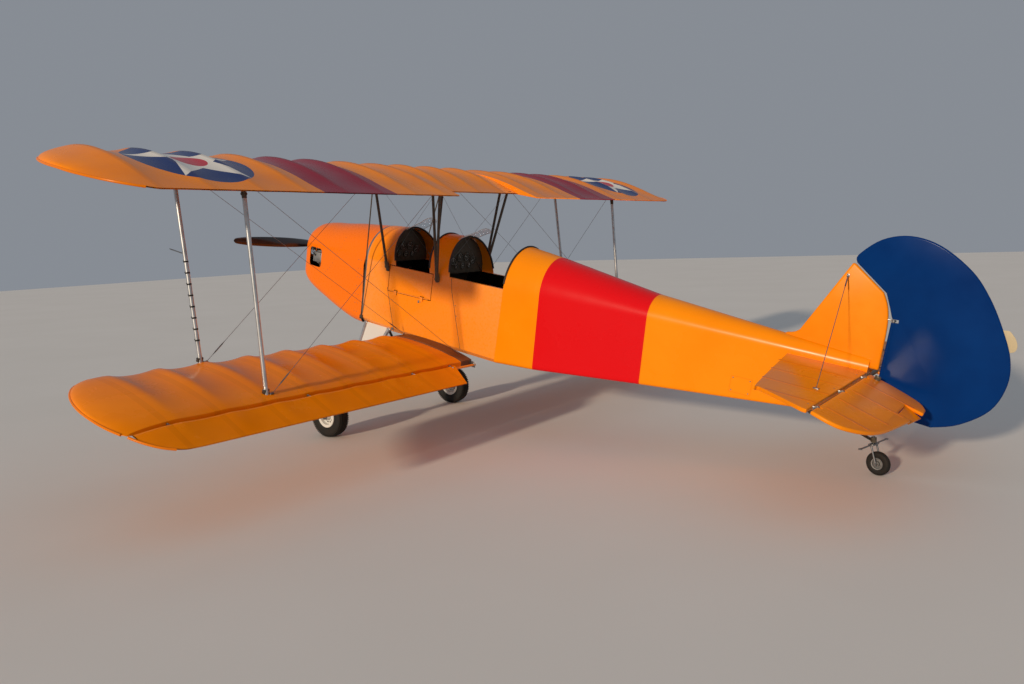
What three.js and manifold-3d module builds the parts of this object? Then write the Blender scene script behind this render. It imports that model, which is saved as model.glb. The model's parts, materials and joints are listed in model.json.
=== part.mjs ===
// Two-seat open-cockpit biplane, parked on its main wheels and its tail wheel.
//
// Units are millimetres. The pieces are modelled in the airframe frame: X forward along the wing chord,
// Y to port, Z up, and the origin near where the tail wheel stands. Pivot groups carry what turns, on their
// real axes. The airframe as a whole is then pitched nose-up to the attitude in which it parks.

import * as THREE from 'three';
import { mergeVertices } from 'three/addons/utils/BufferGeometryUtils.js';
import Module from 'manifold-3d';

const wasm = await Module();
wasm.setup();

const V = (x, y, z) => new THREE.Vector3(x, y, z);
const rad = THREE.MathUtils.degToRad;

// Driving dimensions
const PARK_PITCH = 11.9;
const TOUCH = 0.3;
const RUNNING = 6;

const FIREWALL_X = 4272;
const TURTLE_X = 2826;
const TAIL_END_X = 212;
const BODY_HALF = 295;
const WALL = 28;
const SKIN = 10;

const RIB_PITCH = 330;
const RIB_BAYS = 9;
const LAST_RIB = RIB_PITCH * RIB_BAYS;
const HALF_SPAN = 3240;
const CENTRE_HALF = 516;
const CUT_OUT = 208;

const UPPER = { lead: 4175, chord: 1017, low: 1248, incidence: 1, dihedral: 0, sag: 0.2, thick: 1 };
const LOWER = { lead: 3788, chord: 1000, low: -79, incidence: 3.5, dihedral: 0.8, sag: 0.2, thick: 0.74 };
const LOWER_ROOT_Y = 430;

const AILERON_AXIS_X = 2995;
const AILERON_AXIS_Z = -38;
const AILERON_INNER_Y = 600;
const AILERON_DROOP = 4;

const BAY_Y = 2265;
const BAY_FOOT_Y = 2245;
const STRUT_R = 14;
const CABANE_R = 11;
const WIRE_R = 3;

const THRUST_Z = 520;
const PROP_X = 5210;
const PROP_R = 935;
const PROP_TURN = -3;

const TRACK_HALF = 791;
const TYRE_R = 172;
const TYRE_WIDTH = 108;

const RUDDER_AXIS_X = 135;
const FIN_HALF = 17;
const ELEVATOR_AXIS = V(186, 0, 612);
const ELEVATOR_DROOP = 14;
const TAIL_TUBE_R = 13;

const TAIL_TYRE_R = 75;

// Materials
const paint = (color, roughness = 0.45, metalness = 0) =>
    new THREE.MeshStandardMaterial({ color, roughness, metalness });
const ORANGE = paint(0xff9a1a);
const COWL_ORANGE = paint(0xff8010, 0.35);
const BLUE = paint(0x1e3f7e);
const CREAM = paint(0xe9e2c8);
const SILVER = paint(0xb9bcbf, 0.35, 0.8);
const DARK_STEEL = paint(0x2c2826, 0.55, 0.4);
const STEEL = paint(0x8d9094, 0.4, 0.9);
const DARK_WOOD = paint(0x2e1d14, 0.4);
const BLACK = paint(0x151413, 0.8);
const RUBBER = paint(0x1c1b1a, 0.9);
const WHITE = paint(0xd8d8d4, 0.5);
const TRIM = paint(0x3a2b22, 0.85);
const CLEAR = paint(0xdfe8ea, 0.05);
CLEAR.transparent = true;
CLEAR.opacity = 0.3;

// Closed solids from sections

function closedGeometry(positions, triangles) {
    const geometry = new THREE.BufferGeometry();
    geometry.setAttribute('position', new THREE.Float32BufferAttribute(positions, 3));
    geometry.setIndex(triangles);
    if (signedVolume(geometry) < 0) {
        const turned = [];
        for (let i = 0; i < triangles.length; i += 3) {
            turned.push(triangles[i], triangles[i + 2], triangles[i + 1]);
        }
        geometry.setIndex(turned);
    }
    return geometry;
}

function signedVolume(geometry) {
    const place = geometry.getAttribute('position');
    const index = geometry.getIndex();
    const [a, b, c] = [V(), V(), V()];
    let volume = 0;
    for (let i = 0; i < index.count; i += 3) {
        a.fromBufferAttribute(place, index.getX(i));
        b.fromBufferAttribute(place, index.getX(i + 1));
        c.fromBufferAttribute(place, index.getX(i + 2));
        volume += a.dot(b.cross(c)) / 6;
    }
    return volume;
}

// A loft through closed rings with the same number of points, with its two ends closed.
function loft(rings) {
    const count = rings[0].length;
    const positions = rings.flat().flatMap((p) => [p.x, p.y, p.z]);
    const triangles = [];
    for (let r = 0; r + 1 < rings.length; r++) {
        for (let i = 0; i < count; i++) {
            const a = r * count + i;
            const b = r * count + ((i + 1) % count);
            triangles.push(a, b, a + count, b, b + count, a + count);
        }
    }
    const last = (rings.length - 1) * count;
    for (const [a, b, c] of capTriangles(rings[0])) triangles.push(a, c, b);
    for (const face of capTriangles(rings[rings.length - 1])) triangles.push(...face.map((i) => last + i));
    return closedGeometry(positions, alignCaps(triangles));
}

function capTriangles(ring) {
    const normal = V(0, 0, 0);
    ring.forEach((p, i) => {
        const q = ring[(i + 1) % ring.length];
        normal.add(V((p.y - q.y) * (p.z + q.z), (p.z - q.z) * (p.x + q.x), (p.x - q.x) * (p.y + q.y)));
    });
    const size = [Math.abs(normal.x), Math.abs(normal.y), Math.abs(normal.z)];
    const drop = size.indexOf(Math.max(...size));
    const flat = ring.map((p) => {
        if (drop === 0) return new THREE.Vector2(p.y, p.z);
        if (drop === 1) return new THREE.Vector2(p.z, p.x);
        return new THREE.Vector2(p.x, p.y);
    });
    const clockwise = THREE.ShapeUtils.isClockWise(flat);
    const faces = THREE.ShapeUtils.triangulateShape(flat, []);
    const turn = ([a, b, c]) => (area(flat, a, b, c) < 0) === clockwise ? [a, b, c] : [a, c, b];
    return faces.map(turn);
}

const area = (flat, a, b, c) =>
    (flat[b].x - flat[a].x) * (flat[c].y - flat[a].y) - (flat[c].x - flat[a].x) * (flat[b].y - flat[a].y);

// The two ends run against the sides' edges, so each end takes the turn that closes the surface.
function alignCaps(triangles) {
    const edges = new Set();
    const closed = [];
    for (let i = 0; i < triangles.length; i += 3) {
        const t = [triangles[i], triangles[i + 1], triangles[i + 2]];
        const clash = t.some((a, k) => edges.has(`${a},${t[(k + 1) % 3]}`));
        const kept = clash ? [t[0], t[2], t[1]] : t;
        kept.forEach((a, k) => edges.add(`${a},${kept[(k + 1) % 3]}`));
        closed.push(...kept);
    }
    return closed;
}

// Boolean work

function solid(geometry) {
    const bare = geometry.clone();
    for (const name of Object.keys(bare.attributes)) if (name !== 'position') bare.deleteAttribute(name);
    const merged = mergeVertices(bare, 1e-3);
    return new wasm.Manifold(new wasm.Mesh({
        numProp: 3,
        vertProperties: Float32Array.from(merged.getAttribute('position').array),
        triVerts: Uint32Array.from(merged.getIndex().array),
    }));
}

function shape(body) {
    const mesh = body.getMesh();
    const geometry = new THREE.BufferGeometry();
    geometry.setAttribute('position', new THREE.BufferAttribute(mesh.vertProperties, 3));
    geometry.setIndex(new THREE.BufferAttribute(mesh.triVerts, 1));
    return geometry;
}

const join = (...geometries) => shape(geometries.map(solid).reduce((sum, next) => sum.add(next)));
const cut = (geometry, ...tools) =>
    shape(tools.map(solid).reduce((rest, tool) => rest.subtract(tool), solid(geometry)));
const common = (geometry, tool) => shape(solid(geometry).intersect(solid(tool)));
const shifted = (geometry, x, y, z) => geometry.clone().translate(x, y, z);

function mirrored(geometry) {
    const copy = geometry.clone().scale(1, -1, 1);
    const index = Array.from(copy.getIndex().array);
    for (let i = 0; i < index.length; i += 3) [index[i + 1], index[i + 2]] = [index[i + 2], index[i + 1]];
    copy.setIndex(index);
    return copy;
}

// Simple forms

function block(from, to) {
    const size = to.clone().sub(from);
    const middle = from.clone().add(to).multiplyScalar(0.5);
    return new THREE.BoxGeometry(Math.abs(size.x), Math.abs(size.y), Math.abs(size.z))
        .translate(middle.x, middle.y, middle.z);
}

function rod(from, to, radius, sides = 8, endRadius = radius) {
    const along = to.clone().sub(from);
    const turn = new THREE.Quaternion().setFromUnitVectors(V(0, 1, 0), along.clone().normalize());
    return new THREE.CylinderGeometry(endRadius, radius, along.length(), sides)
        .applyQuaternion(turn)
        .translate(...from.clone().add(to).multiplyScalar(0.5).toArray());
}

// The corner radius of a faceted bore whose flats lie at the given radius
const boreR = (radius, sides) => radius / Math.cos(Math.PI / sides);

// A flat piece in the XZ plane, spread to both sides of Y = 0, with softened edges.
function upright(outline, half, edge) {
    return new THREE.ExtrudeGeometry(outline, {
        depth: 2 * (half - edge), bevelEnabled: true, bevelThickness: edge, bevelSize: edge,
        bevelOffset: -edge, bevelSegments: 2, curveSegments: 8, steps: 1,
    }).translate(0, 0, edge - half).rotateX(Math.PI / 2);
}

const outlineOf = (points) => new THREE.Shape(points.map(([x, z]) => new THREE.Vector2(x, z)));

// Wings

// Share of chord aft of the leading edge, then upper and lower height as shares of the chord. A wing's own
// thick says how much of these heights it has.
const AIRFOIL = [
    [0.000, 0.040, 0.022],
    [0.008, 0.055, 0.009],
    [0.030, 0.077, 0.002],
    [0.090, 0.106, 0.000],
    [0.200, 0.129, 0.000],
    [0.350, 0.138, 0.000],
    [0.520, 0.126, 0.000],
    [0.700, 0.093, 0.002],
    [0.860, 0.051, 0.005],
    [1.000, 0.016, 0.008],
];
const UPPER_SAG_SHARE = 0.85;
const LOWER_SAG_SHARE = 0.35;

// One closed airfoil section. Between ribs the fabric sags inward by the wing's sag share of its height.
const MIDDLE = 0.045;
function section(wing, y, { chord = wing.chord, lead = wing.lead, slack = 0, flat = 1 } = {}) {
    const height = wing.chord * wing.thick;
    const place = (share, tall) => {
        const sagged = tall - MIDDLE;
        const pull = 1 - slack * wing.sag * Math.sin(Math.PI * share ** 0.6) *
            (sagged > 0 ? UPPER_SAG_SHARE : LOWER_SAG_SHARE);
        const up = (MIDDLE + sagged * pull * flat) * height;
        const back = share * chord;
        const tilt = rad(wing.incidence);
        const x = lead - back * Math.cos(tilt) + up * Math.sin(tilt);
        const fromTail = wing.chord - (wing.lead - lead) - back;
        const z = wing.low + up * Math.cos(tilt) + fromTail * Math.sin(tilt);
        return V(x, y, z + Math.tan(rad(wing.dihedral)) * Math.abs(y));
    };
    const top = AIRFOIL.map(([share, high]) => place(share, high));
    const bottom = AIRFOIL.map(([share, , low]) => place(share, low)).reverse();
    return [...top, ...bottom];
}

// Y of the ribs and of the slack station between each pair
function stations(fromY, toY) {
    const list = [];
    for (let bay = 0; bay < RIB_BAYS; bay++) list.push([bay * RIB_PITCH, 0], [(bay + 0.5) * RIB_PITCH, 1]);
    list.push([LAST_RIB, 0]);
    const inside = list.filter(([y]) => y > fromY + 20 && y < toY - 20);
    return [[fromY, 0], ...inside, [toY, 0]];
}

// Stations round the wing tip in degrees, and how much of its thickness is left at the very end
const TIP_ANGLES = [30, 56, 80];
const TIP_THIN = 0.16;

function wingPanel(wing, rootY) {
    const rings = stations(rootY, LAST_RIB).map(([y, slack]) => section(wing, y, { slack }));
    for (const angle of TIP_ANGLES) {
        const c = Math.cos(rad(angle));
        const y = LAST_RIB + (HALF_SPAN - LAST_RIB) * Math.sin(rad(angle));
        const inset = wing.chord * (1 - c) / 2;
        const flat = TIP_THIN + (1 - TIP_THIN) * c ** 3;
        rings.push(section(wing, y, { chord: wing.chord * c, lead: wing.lead - inset, flat }));
    }
    return loft(rings);
}

const upperLeft = wingPanel(UPPER, CENTRE_HALF + TOUCH / 2);
const centreHalf = loft(stations(0, CENTRE_HALF - TOUCH / 2).map(([y, slack]) =>
    section(UPPER, y, { chord: UPPER.chord - CUT_OUT, slack })));
const upperCentre = join(centreHalf, mirrored(centreHalf));

const dihedralRise = (y) => Math.tan(rad(LOWER.dihedral)) * y;
const onAileronAxis = (y) => V(AILERON_AXIS_X, y, AILERON_AXIS_Z + dihedralRise(y));

// Hinges: eyes on the fixed surface, bored for the pin that runs through the moving one
const PIN_SIDES = 16;
const LUG_HALF = 6;
const LUG_RELIEF = 5;
const AILERON_HINGE = { pinR: 9, boreR: 9.4, eyeR: 17, armHalf: 12, reliefR: 34, from: 300, to: 3140 };
const AILERON_LUG_YS = [1000, 1980, 2960];
const AILERON_GAP = 36;
const AILERON_NOSE_R = 24;
const AILERON_NOSE_END = 3120;
const AILERON_OUTER_Y = HALF_SPAN + 20;
// Past every edge of the wing
const WING_CLEAR = { aft: 2000, below: -200, above: 300 };

const lowerWhole = wingPanel(LOWER, LOWER_ROOT_Y);
const behind = (frontX, fromY, toY) => block(
    V(frontX, fromY, WING_CLEAR.below), V(WING_CLEAR.aft, toY, WING_CLEAR.above));
const aileronBay = behind(AILERON_AXIS_X + AILERON_GAP, AILERON_INNER_Y - 8, AILERON_OUTER_Y);
const rootTrim = behind(AILERON_AXIS_X + AILERON_GAP, 0, AILERON_INNER_Y);
const wingLugs = AILERON_LUG_YS.map((y) => {
    const eye = onAileronAxis(y);
    const [from, to] = [y - LUG_HALF, y + LUG_HALF];
    const arm = block(
        V(eye.x, from, eye.z - AILERON_HINGE.armHalf),
        V(eye.x + AILERON_GAP + 20, to, eye.z + AILERON_HINGE.armHalf));
    const round = rod(V(eye.x, from, eye.z), V(eye.x, to, eye.z), AILERON_HINGE.eyeR, PIN_SIDES);
    return join(arm, round);
});
const aileronBored = (y, reach, radius) => rod(
    onAileronAxis(y - reach), onAileronAxis(y + reach), radius, PIN_SIDES);
const lugBores = AILERON_LUG_YS.map((y) => aileronBored(y, 20, boreR(AILERON_HINGE.boreR, PIN_SIDES)));
const lowerLeft = cut(join(cut(lowerWhole, aileronBay, rootTrim), ...wingLugs), ...lugBores);

const aileronBlank = common(lowerWhole, behind(AILERON_AXIS_X - 2, AILERON_INNER_Y, AILERON_OUTER_Y));
const aileronNose = rod(onAileronAxis(AILERON_INNER_Y), onAileronAxis(AILERON_NOSE_END), AILERON_NOSE_R, 12);
const RELIEF_HALF = LUG_HALF + LUG_RELIEF;
const aileronRelief = AILERON_LUG_YS.map((y) => aileronBored(y, RELIEF_HALF, AILERON_HINGE.reliefR));
const aileronPin = rod(
    onAileronAxis(AILERON_HINGE.from), onAileronAxis(AILERON_HINGE.to), AILERON_HINGE.pinR, PIN_SIDES);
const aileron = join(cut(join(aileronBlank, aileronNose), ...aileronRelief), aileronPin);

// The flat panel that closes the gap between the lower wing and the fuselage
const rootFiller = cut(
    loft([BODY_HALF + TOUCH, LOWER_ROOT_Y - TOUCH].map((y) => section(LOWER, y, { flat: 0.93 }))),
    behind(AILERON_AXIS_X + AILERON_GAP + 4, 0, LOWER_ROOT_Y));

// Fuselage

// Station, half width, belly, longeron and top heights, and the belly's corner cut
const FUSELAGE = [
    { x: FIREWALL_X, half: BODY_HALF, belly: 0, longeron: 562, top: 846, corner: 60 },
    { x: 3877, half: BODY_HALF, belly: 6, longeron: 574, top: 872, corner: 40 },
    { x: TURTLE_X, half: BODY_HALF, belly: 22, longeron: 605, top: 921, corner: 30 },
    { x: 2492, half: 262, belly: 50, longeron: 615, top: 890, corner: 26 },
    { x: 1698, half: 184, belly: 152, longeron: 635, top: 792, corner: 22 },
    { x: 764, half: 94, belly: 263, longeron: 634, top: 735, corner: 18 },
    { x: TAIL_END_X, half: 44, belly: 329, longeron: 634, top: 700, corner: 14 },
];

const mix = (a, b, t) => a + (b - a) * t;

function stationAt(x) {
    const after = FUSELAGE.findIndex((s) => s.x <= x);
    const [a, b] = after <= 0 ? [FUSELAGE[0], FUSELAGE[1]] : [FUSELAGE[after - 1], FUSELAGE[after]];
    const t = (a.x - x) / (a.x - b.x);
    const row = { x };
    for (const key of ['half', 'belly', 'longeron', 'top', 'corner']) row[key] = mix(a[key], b[key], t);
    return row;
}

const ARCH_STEPS = 8;

// Full outline: belly, sides up to the longerons in equal steps, and the arch over them
function hullRing({ x, half, belly, longeron, top, corner }, inset = 0, sideSteps = 1) {
    const side = half - inset;
    const low = belly + inset;
    const right = [V(x, side - corner, low)];
    for (let i = 0; i <= sideSteps; i++) right.push(V(x, side, mix(low + corner, longeron, i / sideSteps)));
    const arch = [];
    for (let i = 1; i < ARCH_STEPS; i++) {
        const a = (Math.PI / 2) * (i / ARCH_STEPS);
        arch.push(V(x, side * Math.cos(a), longeron + (top - longeron - inset) * Math.sin(a)));
    }
    const port = [...right, ...arch];
    const starboard = port.map((p) => V(p.x, -p.y, p.z)).reverse();
    return [...port, V(x, 0, top - inset), ...starboard];
}

const rearHull = loft(FUSELAGE.filter((s) => s.x <= TURTLE_X).map((s) => hullRing(s)));
const onElevatorAxis = (y) => V(ELEVATOR_AXIS.x, y, ELEVATOR_AXIS.z);
const elevatorSlot = rod(
    onElevatorAxis(-80), onElevatorAxis(80), boreR(TAIL_TUBE_R + TOUCH, PIN_SIDES), PIN_SIDES);

// The post that carries the fin, the tailplane and both sets of tail hinges
const sternPost = block(V(TAIL_END_X + 20, -20, 372), V(RUDDER_AXIS_X + 22, 20, 690));
const RUDDER_LUG_ZS = [410, 560, 960];
const RUDDER_LUG = { eyeR: 15, armHalf: 10, reach: 56 };
const RUDDER_PIN_R = 8;
const onRudderAxis = (z) => V(RUDDER_AXIS_X, 0, z);
const rudderBore = (from, to) => rod(
    onRudderAxis(from), onRudderAxis(to), boreR(RUDDER_PIN_R + TOUCH, PIN_SIDES), PIN_SIDES);
const rudderLug = (z) => cut(
    join(
        block(
            V(RUDDER_AXIS_X, -RUDDER_LUG.armHalf, z - LUG_HALF),
            V(RUDDER_AXIS_X + RUDDER_LUG.reach, RUDDER_LUG.armHalf, z + LUG_HALF)),
        rod(onRudderAxis(z - LUG_HALF), onRudderAxis(z + LUG_HALF), RUDDER_LUG.eyeR, PIN_SIDES),
    ),
    rudderBore(z - 20, z + 20),
);
const lowRudderLugs = RUDDER_LUG_ZS.slice(0, 2).map(rudderLug);
const rearFuselage = cut(join(rearHull, sternPost, ...lowRudderLugs), elevatorSlot);

// Open tub with both cockpits: floor, two sides, and the port side cut for the access door
const tubXs = [FIREWALL_X - 16, 3877, TURTLE_X + TOUCH];
const tubRing = (x) => {
    const s = stationAt(x);
    const out = [
        V(x, s.half - s.corner, s.belly),
        V(x, s.half, s.belly + s.corner),
        V(x, s.half, s.longeron),
    ];
    const inner = [
        V(x, s.half - WALL, s.longeron),
        V(x, s.half - WALL, s.belly + s.corner + WALL / 2),
        V(x, s.half - s.corner - WALL / 2, s.belly + WALL),
    ];
    const port = [...out, ...inner];
    return [...port, ...port.map((p) => V(p.x, -p.y, p.z)).reverse()];
};
const tub = loft(tubXs.map(tubRing));

const DOOR = { front: 3988, rear: 3524, hingeFront: 352, hingeRear: 366, thick: WALL - 4, drop: 7.5 };
const doorSection = (x, lowZ) => {
    const topZ = stationAt(x).longeron - DOOR.drop;
    const innerY = BODY_HALF - DOOR.thick;
    return [V(x, BODY_HALF, lowZ), V(x, BODY_HALF, topZ), V(x, innerY, topZ), V(x, innerY, lowZ)];
};
const doorBody = loft([doorSection(DOOR.front, DOOR.hingeFront), doorSection(DOOR.rear, DOOR.hingeRear)]);
const doorway = loft([DOOR.front + RUNNING, DOOR.rear - RUNNING].map((x, i) => [
    V(x, BODY_HALF + 40, (i ? DOOR.hingeRear : DOOR.hingeFront) - RUNNING), V(x, BODY_HALF + 40, 700),
    V(x, BODY_HALF - 60, 700), V(x, BODY_HALF - 60, (i ? DOOR.hingeRear : DOOR.hingeFront) - RUNNING),
]));
const doorHingeAt = (x) => V(
    x, BODY_HALF + 3, mix(DOOR.hingeFront, DOOR.hingeRear, (DOOR.front - x) / (DOOR.front - DOOR.rear)) + 2);
const DOOR_HINGE = { pinR: 4, knuckleR: 9, knuckleHalf: 14, reliefR: 15, reliefHalf: 20, sides: 12 };
const DOOR_KNUCKLE_XS = [3900, 3612];
const alongDoorHinge = (x, reach, radius) => rod(
    doorHingeAt(x - reach), doorHingeAt(x + reach), radius, DOOR_HINGE.sides);
const doorPin = rod(
    doorHingeAt(DOOR.front - 20), doorHingeAt(DOOR.rear + 20), DOOR_HINGE.pinR, DOOR_HINGE.sides);
const doorKnuckles = DOOR_KNUCKLE_XS.map((x) => {
    const { z } = doorHingeAt(x);
    const half = DOOR_HINGE.knuckleHalf;
    const foot = block(V(x - half, BODY_HALF - 8, z - 26), V(x + half, BODY_HALF + 8, z - 3));
    return cut(
        join(alongDoorHinge(x, half, DOOR_HINGE.knuckleR), foot),
        alongDoorHinge(x, 40, boreR(DOOR_HINGE.pinR + TOUCH, DOOR_HINGE.sides)));
});
const frontFuselage = join(cut(tub, doorway), ...doorKnuckles);
const doorRelief = DOOR_KNUCKLE_XS.map((x) => alongDoorHinge(x, DOOR_HINGE.reliefHalf, DOOR_HINGE.reliefR));
const door = join(cut(doorBody, ...doorRelief), doorPin);

// Curved decks over the longerons. The cockpit edge leans forward with height.
const FRONT_DECK = { front: FIREWALL_X - 16, rear: 3930, frontLean: 0, rearLean: 100 };
const MID_DECK = { front: 3560, rear: 3354, frontLean: 70, rearLean: 70 };

function deckArch(x, lean, inset) {
    const s = stationAt(x);
    const points = [];
    for (let i = 0; i <= 2 * ARCH_STEPS; i++) {
        const a = (Math.PI / 2) * (i / ARCH_STEPS);
        const tall = (s.top - s.longeron - inset) * Math.sin(a);
        const up = tall / (s.top - s.longeron);
        points.push(V(x + lean * up, (s.half - inset) * Math.cos(a), s.longeron + TOUCH + tall));
    }
    return points;
}
const deckRing = (x, lean) => [...deckArch(x, lean, 0), ...deckArch(x, lean, SKIN).reverse()];
const deck = (d) => loft([deckRing(d.front, d.frontLean), deckRing(d.rear, d.rearLean)]);
const filledDeck = (d, inset = 0) =>
    loft([deckArch(d.front, d.frontLean, inset), deckArch(d.rear, d.rearLean, inset)]);
const frontDeck = deck(FRONT_DECK);
const midDeck = deck(MID_DECK);

const firewallStation = stationAt(FIREWALL_X);
const firewall = loft([FIREWALL_X - 16 + TOUCH, FIREWALL_X].map((x) => hullRing({ ...firewallStation, x })));

// Cowl: open shell with the engine inside
// Station, half width, belly, shoulder and top heights, and the belly's corner cut
const COWL = [
    { x: FIREWALL_X, half: 293, belly: -1, longeron: 561, top: 843, corner: 60 },
    { x: 4420, half: 290, belly: 2, longeron: 560, top: 826, corner: 90 },
    { x: 4620, half: 282, belly: 52, longeron: 554, top: 803, corner: 90 },
    { x: 4800, half: 270, belly: 108, longeron: 545, top: 776, corner: 90 },
    { x: 5010, half: 250, belly: 188, longeron: 535, top: 748, corner: 80 },
    { x: 5066, half: 236, belly: 228, longeron: 530, top: 732, corner: 70 },
    { x: 5098, half: 216, belly: 266, longeron: 525, top: 710, corner: 60 },
    { x: 5120, half: 186, belly: 318, longeron: 521, top: 680, corner: 50 },
];
const COWL_SKIN = 8;
const COWL_SIDE_STEPS = 5;
const NOSE_WALL = 12;
// Behind the cowl's sides a lens-shaped gap lets the air out. It closes to a seam at the belly and the top.
const VENT = { low: 20, high: 690, wide: 31, seam: 1 };
const ventAt = (z) => {
    const share = THREE.MathUtils.clamp((z - VENT.low) / (VENT.high - VENT.low), 0, 1);
    return VENT.seam + VENT.wide * Math.sin(Math.PI * share) ** 0.7;
};
const cowlRing = (s, inset) => hullRing(s, inset, COWL_SIDE_STEPS);
const cowlRear = cowlRing(COWL[0], 0).map((p) => V(p.x + ventAt(p.z), p.y, p.z));
const cowlOuter = loft([cowlRear, ...COWL.slice(1).map((s) => cowlRing(s, 0))]);
const noseRow = COWL[COWL.length - 1];
const cowlInner = loft([
    { ...COWL[0], x: COWL[0].x - 20 },
    ...COWL.slice(1, -1),
    { ...noseRow, x: noseRow.x - NOSE_WALL, half: noseRow.half + 10, belly: noseRow.belly - 20 },
].map((s) => cowlRing(s, COWL_SKIN)));

// A rounded window through both sides: X and Z of its edges and its corner radius
const HEAD_OPENING = { rear: 4848, front: 5012, low: 372, high: 540, corner: 26 };
function windowTool({ rear, front, low, high, corner }) {
    const outline = new THREE.Shape();
    outline.absarc(front - corner, high - corner, corner, 0, Math.PI / 2);
    outline.absarc(rear + corner, high - corner, corner, Math.PI / 2, Math.PI);
    outline.absarc(rear + corner, low + corner, corner, Math.PI, Math.PI * 1.5);
    outline.absarc(front - corner, low + corner, corner, Math.PI * 1.5, Math.PI * 2);
    const reach = BODY_HALF + 100;
    return new THREE.ExtrudeGeometry(outline, { depth: 2 * reach, bevelEnabled: false, curveSegments: 3 })
        .translate(0, 0, -reach)
        .rotateX(Math.PI / 2);
}
const NOSE_HOLE_R = 70;
const INLET = { inner: 90, outer: 145, low: 430, high: 560 };
const noseHole = rod(V(5000, 0, THRUST_Z), V(5200, 0, THRUST_Z), NOSE_HOLE_R, 24);
const noseInlets = [-1, 1].map((side) => block(
    V(5040, side * INLET.inner, INLET.low), V(5200, side * INLET.outer, INLET.high)));
// Tabs that hold the cowl off the firewall
const TAB = { inner: 272, outer: 288, tall: 36, long: 80, zs: [170, 500] };
const sideTabs = [-1, 1].flatMap((side) => TAB.zs.map((z) => block(
    V(FIREWALL_X + TOUCH, side * TAB.inner, z), V(FIREWALL_X + TAB.long, side * TAB.outer, z + TAB.tall))));
const topTab = block(V(FIREWALL_X + TOUCH, -22, 822), V(FIREWALL_X + 60, 22, 836));
const cowlShell = cut(cowlOuter, cowlInner, windowTool(HEAD_OPENING), noseHole, ...noseInlets);
const cowl = join(cowlShell, ...sideTabs, topTab);

// Engine: two opposed cylinders with cooling fins on a crankcase, on four tubes from the firewall
const ENGINE = { rear: 4640, front: 4990, half: 150, low: 330, high: 610 };
const CYLINDER = { x: 4913, z: 456, radius: 44, headAt: 226, end: 257 };
const FIN = { count: 6, radius: 60, thick: 4, pitch: 12 };
const HEAD_HALF = { x: 60, z: 50 };
const engineCase = block(V(ENGINE.rear, -ENGINE.half, ENGINE.low), V(ENGINE.front, ENGINE.half, ENGINE.high));
const acrossCylinder = (side, from, to, radius) => rod(
    V(CYLINDER.x, side * from, CYLINDER.z), V(CYLINDER.x, side * to, CYLINDER.z), radius, 16);
const cylinders = [-1, 1].flatMap((side) => {
    const fins = Array.from({ length: FIN.count }, (_, i) => {
        const at = ENGINE.half + 6 + i * FIN.pitch;
        return acrossCylinder(side, at, at + FIN.thick, FIN.radius);
    });
    const head = block(
        V(CYLINDER.x - HEAD_HALF.x, side * CYLINDER.headAt, CYLINDER.z - HEAD_HALF.z),
        V(CYLINDER.x + HEAD_HALF.x, side * CYLINDER.end, CYLINDER.z + HEAD_HALF.z));
    return [acrossCylinder(side, ENGINE.half - 10, CYLINDER.headAt + 4, CYLINDER.radius), ...fins, head];
});
const gearNose = rod(V(4980, 0, THRUST_Z), V(5070, 0, THRUST_Z), 62, 16);
const SHAFT_R = 20;
const propShaft = rod(V(5060, 0, THRUST_Z), V(5240, 0, THRUST_Z), SHAFT_R, PIN_SIDES);
// Y and Z at the firewall, then at the crankcase
const ENGINE_LEGS = [
    [220, 220, 130, 350],
    [220, 640, 130, 590],
];
const engineLegs = [-1, 1].flatMap((side) => ENGINE_LEGS.map(([wallY, wallZ, caseY, caseZ]) => rod(
    V(FIREWALL_X - 8, side * wallY, wallZ), V(ENGINE.rear + 40, side * caseY, caseZ), 12)));
const engine = cut(
    join(engineCase, ...cylinders, gearNose, propShaft, ...engineLegs), shifted(firewall, TOUCH, 0, 0));

// Propeller, with its blades along Y at rest
// Radius, chord, thickness and blade angle in degrees
const BLADE = [
    [40, 60, 46, 60],
    [150, 84, 34, 46],
    [330, 92, 24, 33],
    [560, 88, 17, 23],
    [780, 72, 12, 17],
    [900, 48, 8, 15],
    [PROP_R, 22, 5, 14],
];
function bladeRing([radius, chord, thick, angle]) {
    const ring = [];
    for (let i = 0; i < 10; i++) {
        const a = (2 * Math.PI * i) / 10;
        const flat = V(Math.sin(a) * thick / 2, radius, Math.cos(a) * chord / 2);
        ring.push(flat.applyAxisAngle(V(0, 1, 0), rad(angle)));
    }
    return ring;
}
const blade = loft(BLADE.map(bladeRing));
const otherBlade = blade.clone().rotateX(Math.PI);
const HUB_HALF = 34;
const HUB_CAP_X = 54.65;
const hub = rod(V(-HUB_HALF, 0, 0), V(HUB_HALF, 0, 0), 72, 24);
const hubCap = rod(V(HUB_HALF - 4, 0, 0), V(HUB_CAP_X, 0, 0), 50, 20, 34);
const hubBore = rod(V(-60, 0, 0), V(HUB_HALF - 2, 0, 0), boreR(SHAFT_R + TOUCH, PIN_SIDES), PIN_SIDES);
const propeller = cut(join(blade, otherBlade, hub, hubCap), hubBore);

// Cockpit fittings
const floorAt = (x) => stationAt(x).belly + WALL;
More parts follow.
